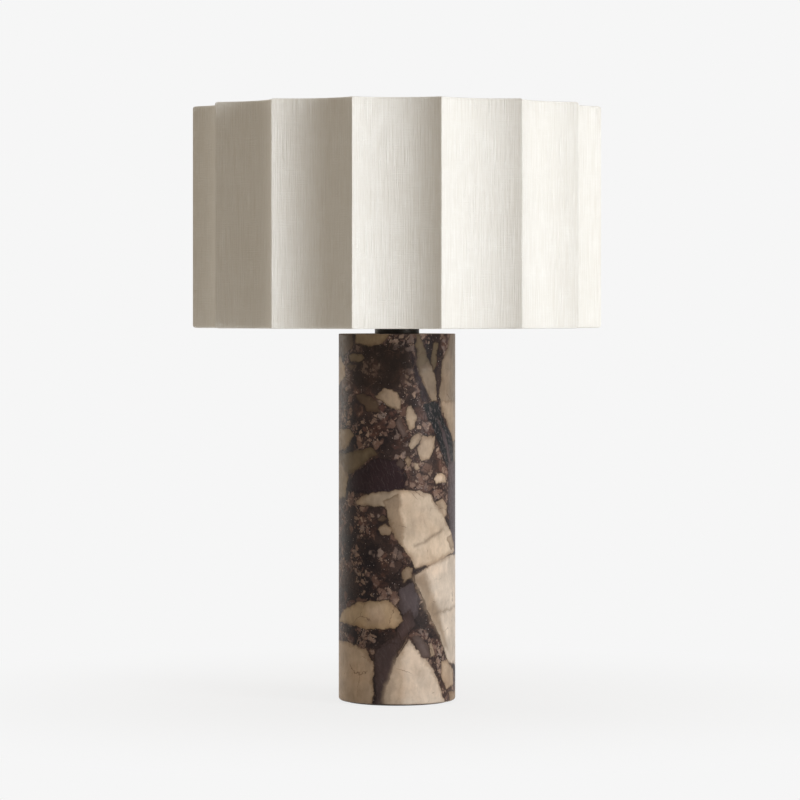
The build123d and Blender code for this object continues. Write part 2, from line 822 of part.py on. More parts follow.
with BuildPart() as centre_contact:
    with BuildSketch(Plane.XZ.offset(-contact_width / 2)):
        with BuildLine():
            Polyline(
                (-contact_foot, body_top + contact_thickness / 2),
                (-contact_foot / 2, body_top + contact_thickness / 2),
                (-contact_width / 2, bulb_bottom - contact_thickness / 2),
                (contact_width / 2, bulb_bottom - contact_thickness / 2),
            )
            offset(amount=contact_thickness / 2)
        make_face()
    extrude(amount=contact_width)
centre_contact.part.label = "centre_contact"
export_step(centre_contact.part, "parts/centre_contact.step")

# ---------------------------------------------------------------- switch

knob_start = socket_diameter / 2 + knob_stand_off

with BuildPart() as switch_shaft:
    with BuildSketch(shaft_plane):
        with Locations((0, switch_axis_height)):
            Circle(switch_shaft_diameter / 2)
    extrude(amount=knob_start + knob_bore_depth - switch_shaft_root)
switch_shaft.part.label = "switch_shaft"
export_step(switch_shaft.part, "parts/switch_shaft.step")

with BuildPart() as switch_knob:
    with BuildSketch(Plane.YZ.offset(knob_start)):
        with Locations((0, switch_axis_height)):
            Circle(knob_diameter / 2)
    extrude(amount=knob_boss_length)
    with BuildSketch(Plane.YZ.offset(knob_start + knob_length - knob_wing_length)):
        with Locations((0, switch_axis_height)):
            SlotOverall(knob_wing_span, knob_wing_thickness)
    extrude(amount=knob_wing_length)
    fillet(switch_knob.edges().group_by(Axis.X)[-1], knob_edge_round)
    with BuildSketch(Plane.YZ.offset(knob_start)):
        with Locations((0, switch_axis_height)):
            Circle(switch_shaft_diameter / 2)
    extrude(amount=knob_bore_depth, mode=Mode.SUBTRACT)
switch_knob.part.label = "switch_knob"
export_step(switch_knob.part, "parts/switch_knob.step")

# ---------------------------------------------------------------- bulb

cap_side = bulb_cap_diameter / 2 - thread_depth / 2
insulator_top = bulb_bottom + bulb_contact_height + bulb_insulator_height
cap_thread_top = insulator_top + bulb_cap_turns * thread_pitch
cap_top = cap_thread_top + bulb_cap_shoulder
neck_top = cap_top + bulb_neck_length
glass_root = cap_thread_top + seat_gap
glass_edge = bulb_cap_diameter / 2 - thread_depth - bulb_cap_wall


def draw_glass(inset):
    """Draw the bulb's side in the open line, moved inwards by inset, from the crown down."""
    radius = bulb_diameter / 2 - inset
    neck = bulb_neck_diameter / 2 - inset
    crown = CenterArc((0, bulb_top - bulb_diameter / 2), radius, -bulb_flank_angle, 90 + bulb_flank_angle)
    TangentArc(crown @ 0, (neck, neck_top), tangent=crown % 0 * -1)
    Polyline(
        (neck, neck_top),
        (neck, cap_top + inset),
        (glass_edge - inset, cap_top + inset),
        (glass_edge - inset, glass_root),
    )


with BuildPart() as bulb_glass:
    with BuildSketch(Plane.XZ):
        with BuildLine():
            draw_glass(0)
            draw_glass(bulb_wall)
            Line((0, bulb_top), (0, bulb_top - bulb_wall))
            Line((glass_edge, glass_root), (glass_edge - bulb_wall, glass_root))
        make_face()
    revolve(axis=Axis.Z)
bulb_glass.part.label = "bulb_glass"
export_step(bulb_glass.part, "parts/bulb_glass.step")

with BuildPart() as bulb_cap:
    with BuildSketch(Plane.XZ):
        with BuildLine():
            draw_ripples(cap_side, insulator_top, bulb_cap_turns)
            draw_ripples(cap_side - bulb_cap_wall, insulator_top, bulb_cap_turns)
            Line((cap_side, insulator_top), (cap_side - bulb_cap_wall, insulator_top))
            Line((cap_side, cap_thread_top), (cap_side - bulb_cap_wall, cap_thread_top))
        make_face()
    revolve(axis=Axis.Z)
    with BuildSketch(Plane.XY.offset(cap_thread_top)):
        Circle(cap_side)
        Circle(cap_side - bulb_cap_wall, mode=Mode.SUBTRACT)
    extrude(amount=bulb_cap_shoulder)
bulb_cap.part.label = "bulb_cap"
export_step(bulb_cap.part, "parts/bulb_cap.step")

with BuildPart() as bulb_insulator:
    with Locations((0, 0, insulator_top - bulb_insulator_height)):
        Cone(
            bulb_contact_diameter / 2,
            cap_side,
            bulb_insulator_height,
            align=(Align.CENTER, Align.CENTER, Align.MIN),
        )
bulb_insulator.part.label = "bulb_insulator"
export_step(bulb_insulator.part, "parts/bulb_insulator.step")

with BuildPart() as bulb_contact:
    with BuildSketch(Plane.XY.offset(bulb_bottom)):
        Circle(bulb_contact_diameter / 2)
    extrude(amount=bulb_contact_height)
    fillet(bulb_contact.edges().group_by(Axis.Z)[0], bulb_contact_round)
bulb_contact.part.label = "bulb_contact"
export_step(bulb_contact.part, "parts/bulb_contact.step")

# ---------------------------------------------------------------- harp

harp_side = harp_width / 2
harp_leg_start = saddle_shoulder + harp_end_length - harp_end_socket
harp_leg_top = saddle_shoulder + harp_straight_leg
harp_free_height = harp_axis_top - harp_leg_top
leg_bend_height = harp_leg_top + harp_free_height * harp_leg_share
side_start_height = harp_leg_top + harp_free_height * harp_side_share
side_end_height = harp_leg_top + harp_free_height * harp_shoulder_share
harp_half_route = [
    (0, leg_offset, harp_leg_start),
    (0, leg_offset, leg_bend_height),
    (0, harp_side, side_start_height),
    (0, harp_side, side_end_height),
    (0, harp_crown_width / 2, harp_axis_top),
]
harp_route = harp_half_route + [(x, -y, z) for x, y, z in reversed(harp_half_route)]

with BuildPart() as harp:
    sweep_rod(harp_route, harp_wire, harp_bend)
    with BuildSketch(Plane.XY.offset(harp_top)):
        Circle(harp_pad_diameter / 2)
    extrude(amount=-harp_wire)
    with BuildSketch(Plane.XY.offset(harp_top)):
        Circle(stud_pivot_diameter / 2 + running_gap)
    extrude(amount=-harp_wire, mode=Mode.SUBTRACT)
harp.part.label = "harp"
export_step(harp.part, "parts/harp.step")

slot_height = post_height + loose_gap
slot_side = post_thickness / 2 + loose_gap

with BuildPart() as harp_ends:
    with BuildSketch(Plane.XY.offset(saddle_shoulder)):
        with Locations((0, leg_offset), (0, -leg_offset)):
            Circle(harp_end_diameter / 2)
    extrude(amount=harp_end_length)
    with BuildSketch(Plane.XY.offset(harp_leg_start)):
        with Locations((0, leg_offset), (0, -leg_offset)):
            Circle(harp_wire / 2)
    extrude(amount=harp_end_length, mode=Mode.SUBTRACT)
    with BuildSketch(Plane.XY.offset(saddle_shoulder)):
        Rectangle(post_width + 2 * loose_gap, saddle_spread + 2 * slot_side)
    extrude(amount=slot_height, mode=Mode.SUBTRACT)
harp_ends.part.label = "harp_ends"
export_step(harp_ends.part, "parts/harp_ends.step")


def draw_ferrule(offset_y):
    """One sliding ferrule about the harp's leg, with a bead at its foot, in the open part."""
    bore = harp_end_diameter / 2 + running_gap
    with BuildSketch(Plane.XY.offset(saddle_shoulder)) as wall:
        with Locations((0, offset_y)):
            Circle(bore + ferrule_wall)
            Circle(bore, mode=Mode.SUBTRACT)
    extrude(wall.sketch, amount=ferrule_length)
    with BuildSketch(Plane.XY.offset(saddle_shoulder)) as bead:
        with Locations((0, offset_y)):
            Circle(bore + ferrule_wall + ferrule_bead)
            Circle(bore, mode=Mode.SUBTRACT)
    extrude(bead.sketch, amount=ferrule_bead_length)


with BuildPart() as front_ferrule:
    draw_ferrule(-leg_offset)
front_ferrule.part.label = "front_ferrule"
export_step(front_ferrule.part, "parts/front_ferrule.step")

with BuildPart() as rear_ferrule:
    draw_ferrule(leg_offset)
rear_ferrule.part.label = "rear_ferrule"
export_step(rear_ferrule.part, "parts/rear_ferrule.step")

finial_bottom = spider_seat + spider_washer_thickness
finial_neck_top = finial_bottom + finial_foot_height + finial_neck_height
ball_rise = sqrt((finial_ball_diameter / 2) ** 2 - (finial_neck_diameter / 2) ** 2)
stud_core_radius = stud_thread_diameter / 2 - stud_thread_depth
stud_head_top = harp_top - harp_wire - stud_end_play
stud_top = finial_neck_top - loose_gap

with BuildPart() as swivel_stud:
    with BuildSketch(Plane.XY.offset(stud_head_top)):
        Circle(stud_head_diameter / 2)
    extrude(amount=-stud_head_height)
    with BuildSketch(Plane.XY.offset(stud_head_top)):
        Circle(stud_pivot_diameter / 2)
    extrude(amount=harp_top - stud_head_top)
    with BuildSketch(Plane.XY.offset(harp_top)):
        Circle(stud_shoulder_diameter / 2)
    extrude(amount=stud_shoulder_height)
    with BuildSketch(Plane.XY.offset(spider_seat)):
        Circle(stud_core_radius)
    extrude(amount=stud_top - spider_seat)
    chamfer(swivel_stud.edges().group_by(Axis.Z)[-1], stud_chamfer)
swivel_stud.part.label = "swivel_stud"
export_step(swivel_stud.part, "parts/swivel_stud.step")

with BuildPart() as finial_base:
    with BuildSketch(Plane.XY.offset(finial_bottom)):
        Circle(finial_foot_diameter / 2)
    extrude(amount=finial_foot_height)
    fillet(finial_base.edges().group_by(Axis.Z)[-1], finial_foot_round)
    with BuildSketch(Plane.XY.offset(finial_bottom)):
        Circle(finial_neck_diameter / 2)
    extrude(amount=finial_neck_top - finial_bottom)
    with BuildSketch(Plane.XY.offset(finial_bottom)):
        Circle(stud_thread_diameter / 2 + finial_gap)
    extrude(amount=finial_neck_top - finial_bottom, mode=Mode.SUBTRACT)
finial_base.part.label = "finial_base"
export_step(finial_base.part, "parts/finial_base.step")

with BuildPart() as finial_ball:
    with Locations((0, 0, finial_neck_top + ball_rise)):
        Sphere(finial_ball_diameter / 2)
    split(bisect_by=Plane.XY.offset(finial_neck_top), keep=Keep.TOP)
finial_ball.part.label = "finial_ball"
export_step(finial_ball.part, "parts/finial_ball.step")

# ---------------------------------------------------------------- shade frame

def draw_ring(height):
    """Bend the ring wire round the flutes at that height, in the open part."""
    with BuildSketch(Plane.XY.offset(height)) as outline:
        add(fluted_outline(ring_inset, ring_corner))
    path = outline.sketch.faces()[0].outer_wire()
    with BuildSketch(Plane(origin=path @ 0, z_dir=path % 0)) as section:
        Circle(ring_wire / 2)
    sweep(sections=section.sketch, path=path)


with BuildPart() as top_ring:
    draw_ring(top_ring_height)
top_ring.part.label = "top_ring"
export_step(top_ring.part, "parts/top_ring.step")

with BuildPart() as bottom_ring:
    draw_ring(bottom_ring_height)
bottom_ring.part.label = "bottom_ring"
export_step(bottom_ring.part, "parts/bottom_ring.step")

rib_reach = ridge_reach(ring_inset + ring_corner) + ring_corner

with BuildPart() as frame_ribs:
    with BuildSketch(Plane.XY.offset(bottom_ring_height)):
        with PolarLocations(rib_reach, flute_count, start_angle=front + flute_pitch / 2):
            Circle(rib_wire / 2)
    extrude(amount=top_ring_height - bottom_ring_height)
    add(top_ring.part, mode=Mode.SUBTRACT)
    add(bottom_ring.part, mode=Mode.SUBTRACT)
frame_ribs.part.label = "frame_ribs"
export_step(frame_ribs.part, "parts/frame_ribs.step")

with BuildPart() as spider_washer:
    with BuildSketch(Plane.XY.offset(spider_seat)):
        Circle(spider_washer_diameter / 2)
        Circle(stud_thread_diameter / 2 + loose_gap, mode=Mode.SUBTRACT)
    extrude(amount=spider_washer_thickness)
spider_washer.part.label = "spider_washer"
export_step(spider_washer.part, "parts/spider_washer.step")

arm_end_reach = valley_reach(ring_inset)
arm_root_reach = spider_washer_diameter / 2 - spider_arm_lap
arm_root_height = spider_seat + spider_washer_thickness / 2
arm_route = [
    (arm_root_reach, 0, arm_root_height),
    (arm_root_reach + spider_level_length, 0, arm_root_height),
    (arm_end_reach - spider_level_length, 0, top_ring_height),
    (arm_end_reach, 0, top_ring_height),
]

with BuildPart() as spider_arm:
    sweep_rod(arm_route, spider_arm_diameter, spider_bend)

with BuildPart() as spider_arms:
    with PolarLocations(0, spider_arm_count, start_angle=front):
        add(spider_arm.part)
    add(top_ring.part, mode=Mode.SUBTRACT)
    add(spider_washer.part, mode=Mode.SUBTRACT)
spider_arms.part.label = "spider_arms"
export_step(spider_arms.part, "parts/spider_arms.step")

# ---------------------------------------------------------------- shade lining and cover

panel_half_angle = flute_half_angle(lining_inside)

with BuildPart() as lining_panels:
    with BuildSketch(Plane.XY.offset(shade_bottom + cover_thickness)):
        for flute in range(flute_count):
            middle = front + flute * flute_pitch
            arc_start = middle + 180 - panel_half_angle
            with BuildLine():
                outside = CenterArc(
                    polar(flute_centre, middle), flute_radius + lining_outside, arc_start, 2 * panel_half_angle
                )
                inside = CenterArc(
                    polar(flute_centre, middle), flute_radius + lining_inside, arc_start, 2 * panel_half_angle
                )
                Line(outside @ 0, inside @ 0)
                Line(outside @ 1, inside @ 1)
            make_face()
    extrude(amount=shade_height - 2 * cover_thickness)
lining_panels.part.label = "lining_panels"
export_step(lining_panels.part, "parts/lining_panels.step")

cap_height = cover_thickness
cover_rings = [
    (shade_bottom, shade_height, 0, lining_outside),
    (shade_bottom, cap_height, lining_outside, hem_inside),
    (shade_bottom, hem_height, hem_outside, hem_inside),
    (shade_bottom + hem_height - cap_height, cap_height, lining_inside, hem_inside),
    (shade_top - hem_height, cap_height, lining_inside, hem_inside),
    (shade_top - hem_height, hem_height, hem_outside, hem_inside),
    (shade_top - cap_height, cap_height, lining_outside, hem_inside),
]

with BuildPart() as linen_cover:
    for bottom, height, outside_inset, inside_inset in cover_rings:
        outside_corner = corner_at(outside_inset) if outside_inset > lining_inside else 0
        with BuildSketch(Plane.XY.offset(bottom)):
            add(fluted_outline(outside_inset, outside_corner))
            add(fluted_outline(inside_inset, 0), mode=Mode.SUBTRACT)
        extrude(amount=height)
    with BuildSketch(Plane.XY.offset(bottom_ring_height)):
        with PolarLocations(rib_reach, flute_count, start_angle=front + flute_pitch / 2):
            Circle(rib_wire / 2 + loose_gap)
    extrude(amount=top_ring_height - bottom_ring_height, mode=Mode.SUBTRACT)
    for arm in range(spider_arm_count):
        direction = polar(1, front + arm * 360 / spider_arm_count)
        arm_bend = polar(arm_end_reach - spider_level_length, front + arm * 360 / spider_arm_count)
        with BuildSketch(Plane(origin=(*arm_bend, top_ring_height), z_dir=(*direction, 0))):
            Circle(spider_arm_diameter / 2 + loose_gap)
        extrude(amount=spider_level_length, mode=Mode.SUBTRACT)
linen_cover.part.label = "linen_cover"
export_step(linen_cover.part, "parts/linen_cover.step")
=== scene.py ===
from math import asin, atan2, cos, hypot, pi, radians, sin, sqrt

import bpy
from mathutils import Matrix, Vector


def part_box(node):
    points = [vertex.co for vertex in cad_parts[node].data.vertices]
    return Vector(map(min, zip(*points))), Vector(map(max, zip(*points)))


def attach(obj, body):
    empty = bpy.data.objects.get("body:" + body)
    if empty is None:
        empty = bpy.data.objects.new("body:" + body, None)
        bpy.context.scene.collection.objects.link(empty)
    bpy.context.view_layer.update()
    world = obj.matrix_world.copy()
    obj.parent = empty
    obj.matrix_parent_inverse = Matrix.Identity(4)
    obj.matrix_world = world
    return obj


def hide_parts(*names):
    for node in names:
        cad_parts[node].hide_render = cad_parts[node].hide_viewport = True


# The looks of a column table lamp. Metres, +Z up, the front is -Y.

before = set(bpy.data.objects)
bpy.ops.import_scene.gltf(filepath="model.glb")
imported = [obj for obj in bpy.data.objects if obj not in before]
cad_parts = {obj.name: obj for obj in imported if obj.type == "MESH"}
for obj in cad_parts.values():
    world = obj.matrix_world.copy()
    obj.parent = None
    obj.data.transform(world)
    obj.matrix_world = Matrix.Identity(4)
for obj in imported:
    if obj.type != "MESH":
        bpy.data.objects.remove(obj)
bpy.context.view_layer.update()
MM = 0.001

# ---------------------------------------------------------------- the photograph's view

# A level camera. METRES_PER_PIXEL is the scale at the lamp's axis, which stands in column LAMP_COLUMN.
PICTURE_WIDTH = 800
METRES_PER_PIXEL = 0.0010123
HORIZON_ROW = 305
LAMP_COLUMN = 397
CAMERA_DISTANCE = 3.71
CAMERA_HEIGHT = 0.400
SENSOR_WIDTH = 36.0
BACKGROUND = (0.922, 0.922, 0.922, 1)

# ---------------------------------------------------------------- sizes from the frame

_, column_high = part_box("marble_column")
COLUMN_RADIUS = column_high.x
cover_low, cover_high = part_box("linen_cover")
SHADE_RADIUS = cover_high.y
SHADE_BOTTOM = cover_low.z
SHADE_TOP = cover_high.z

# The shade's flutes, as they are built: hollow arcs that meet in ridges on SHADE_RADIUS.
FLUTE_COUNT = 15
FLUTE_DEPTH = 16 * MM
PITCH = 2 * pi / FLUTE_COUNT
HALF_WIDTH = SHADE_RADIUS * sin(PITCH / 2)
FLUTE_RADIUS = (HALF_WIDTH**2 + FLUTE_DEPTH**2) / (2 * FLUTE_DEPTH)
FLUTE_CENTRE = SHADE_RADIUS * cos(PITCH / 2) - FLUTE_DEPTH + FLUTE_RADIUS

# ---------------------------------------------------------------- building materials


class Nodes:
    """A node tree, put together node by node."""

    def __init__(self, tree):
        self.tree = tree

    def node(self, kind, inputs=(), **settings):
        made = self.tree.nodes.new(kind)
        for key, value in settings.items():
            setattr(made, key, value)
        for key, value in dict(inputs).items():
            self.feed(made.inputs[key], value)
        return made

    def feed(self, socket, value):
        """Link another node's output to the socket, or set the socket's own value."""
        if isinstance(value, bpy.types.NodeSocket):
            self.tree.links.new(value, socket)
        else:
            socket.default_value = value

    def math(self, operation, first, second=0.0, third=0.0):
        inputs = {0: first, 1: second, 2: third}
        return self.node("ShaderNodeMath", inputs, operation=operation).outputs[0]

    def seen_by_eye(self):
        """1 where the camera sees a surface straight, in a mirror or through glass, and 0 otherwise."""
        rays = self.node("ShaderNodeLightPath").outputs
        straight = self.math("MAXIMUM", rays["Is Camera Ray"], rays["Is Glossy Ray"])
        return self.math("MAXIMUM", straight, rays["Is Transmission Ray"])


class Paint(Nodes):
    """One procedural material. Its place is the object's own, in metres."""

    def __init__(self, name):
        self.material = bpy.data.materials.new(name)
        self.material.use_nodes = True
        super().__init__(self.material.node_tree)
        self.surface = self.tree.nodes["Principled BSDF"]
        self.place = self.node("ShaderNodeTexCoord").outputs["Object"]

    def set(self, **values):
        """Set the surface's own sockets, with underscores for the spaces in their names."""
        for key, value in values.items():
            self.feed(self.surface.inputs[key.replace("_", " ")], value)

    def vector(self, operation, first, second=(0, 0, 0), output=0):
        inputs = {0: first, 1: second}
        return self.node("ShaderNodeVectorMath", inputs, operation=operation).outputs[output]

    def split(self, vector):
        return self.node("ShaderNodeSeparateXYZ", {0: vector}).outputs

    def join(self, x, y, z):
        return self.node("ShaderNodeCombineXYZ", {0: x, 1: y, 2: z}).outputs[0]

    def stretch(self, vector, scale):
        """The place with each axis multiplied, so that a texture on it is drawn out."""
        return self.vector("MULTIPLY", vector, scale)

    def noise(self, vector, scale, detail=3.0, roughness=0.5, output="Fac", distortion=0.0):
        inputs = {
            "Vector": vector,
            "Scale": scale,
            "Detail": detail,
            "Roughness": roughness,
            "Distortion": distortion,
        }
        return self.node("ShaderNodeTexNoise", inputs).outputs[output]

    def cells(self, vector, scale, feature="F1", output="Distance"):
        inputs = {"Vector": vector, "Scale": scale}
        return self.node("ShaderNodeTexVoronoi", inputs, feature=feature).outputs[output]

    def ramp(self, value, low, high, to_low=0.0, to_high=1.0):
        """The value, taken smoothly from low..high to to_low..to_high, and held there."""
        inputs = {0: value, 1: low, 2: high, 3: to_low, 4: to_high}
        return self.node("ShaderNodeMapRange", inputs, interpolation_type="SMOOTHSTEP").outputs[0]

    def total(self, *parts):
        """The sum of several values, each times its weight."""
        whole = None
        for value, weight in parts:
            part = self.math("MULTIPLY", value, weight)
            whole = part if whole is None else self.math("ADD", whole, part)
        return whole

    def mix(self, share, first, second, blend="MIX"):
        """Two colours mixed by share."""
        made = self.node("ShaderNodeMix", data_type="RGBA", blend_type=blend)
        self.feed(made.inputs[0], share)
        for socket, value in ((made.inputs[6], first), (made.inputs[7], second)):
            self.feed(socket, value if isinstance(value, bpy.types.NodeSocket) else (*value, 1))
        return made.outputs[2]

    def shade(self, colour, tone):
        """A colour made lighter or darker by tone."""
        return self.mix(1.0, colour, self.join(tone, tone, tone), blend="MULTIPLY")

    def bump(self, height, depth, strength=1.0):
        """Relief whose height of 1 stands depth metres high."""
        inputs = {"Height": height, "Distance": depth, "Strength": strength}
        self.set(Normal=self.node("ShaderNodeBump", inputs).outputs[0])


# ---------------------------------------------------------------- marble

# Colours of the large fragments, light to dark.
IVORY = (0.60, 0.51, 0.425)
CREAM = (0.54, 0.435, 0.335)
HONEY = (0.42, 0.32, 0.235)
PALE = (0.38, 0.30, 0.225)
SAND = (0.375, 0.280, 0.185)
TAN = (0.30, 0.225, 0.16)
OLIVE = (0.245, 0.182, 0.118)
FAWN = (0.220, 0.168, 0.122)
GREY = (0.150, 0.132, 0.108)
MOSS = (0.135, 0.100, 0.063)
MAUVE = (0.115, 0.083, 0.075)
BROWN = (0.10, 0.068, 0.047)
SLATE = (0.080, 0.061, 0.063)
STEM = (0.062, 0.041, 0.039)
PLUM = (0.026, 0.014, 0.016)
UMBER = (0.021, 0.013, 0.009)
CHARCOAL = (0.014, 0.015, 0.016)

# Colours of the ground, its grit and its lines.
CLOUD_DARK = (0.014, 0.009, 0.009)
CLOUD_PALE = (0.052, 0.033, 0.028)
RUST = (0.115, 0.056, 0.040)
GRIT = (0.23, 0.17, 0.14)
SOOT = (0.010, 0.007, 0.007)
SPECK = (0.36, 0.31, 0.29)
HAIRLINE = (0.010, 0.007, 0.008)
OUTLINE = (0.016, 0.010, 0.009)
CRACK = (0.09, 0.05, 0.033)
STAIN = (1.0, 0.84, 0.70)

# The chips in the ground: cells to a metre, how rare they are, the two tints that they lie between, how
# strong they are, and what their heights are multiplied by. UPRIGHT draws the cells out upwards.
RED_CHIP = ((0.085, 0.040, 0.033), (0.19, 0.115, 0.088))
MAUVE_CHIP = ((0.095, 0.060, 0.056), (0.27, 0.205, 0.175))
SANDY_CHIP = ((0.12, 0.068, 0.055), (0.30, 0.215, 0.165))
UPRIGHT = 0.62
CHIPS = [
    (90, 0.58, RED_CHIP, 0.65, 1),
    (130, 0.72, MAUVE_CHIP, 0.75, UPRIGHT),
    (175, 0.74, SANDY_CHIP, 0.85, 1),
    (340, 0.84, SANDY_CHIP, 0.8, 1),
]
SPECKS_TO_METRE = 480

# The fragments at the back and the sides: cells to a metre, and how rare they are.
BACK_FRAGMENTS = [(25, 0.50), (56, 0.70)]

# What is drawn in the stone is shifted off its place, in wide waves by WANDER and in fine ones by FRAY.
WANDER = 9 * MM
FRAY = 6.5 * MM

# The back's fragments begin between these turns from the front, in radians. The front's own end under the
# column's skin, between these depths.
SIDE_TURNS = (1.50, 1.72)
SKIN_DEPTHS = (0.5 * MM, 3 * MM)

# Each fragment has rounded corners, a soft edge, and a browner rim of changing depth.
CORNER_ROUND = 1.6 * MM
EDGE_OUT, EDGE_IN = 0.8 * MM, -1.2 * MM
RIM_DEPTHS = (2 * MM, 7 * MM)
RIM_STRENGTH = 0.7
RIM_TINT = (0.50, 0.43, 0.37)
OUTLINE_WIDTH = 1.1 * MM

# Fragments darker than DARK_TINT are shot through with slanting strands, the STRANDED ones most.
DARK_TINT = 0.09
STRANDED = {"charcoal head", "charcoal bend", "slate edge"}
FAINT_STRANDS = 0.25
STRAND = (0.150, 0.125, 0.125)
STRAND_LEAN = 0.4

# These are changes of tone rather than fragments; the one at the column's top is painted shade, the top
# made darker where the lampshade shades it. Their edges are soft, and each has its strength.
SOFT_DEPTH = 9 * MM
SOFT_EDGED = {
    # Painted shade at the column's top, under the lampshade.
    "top painted shade": 0.62,
    "half moon glow": 1.0,
    "point shade": 0.8,
    "lower cream tan": 0.9,
    "first band": 2.2,
    "second band": 2.0,
}

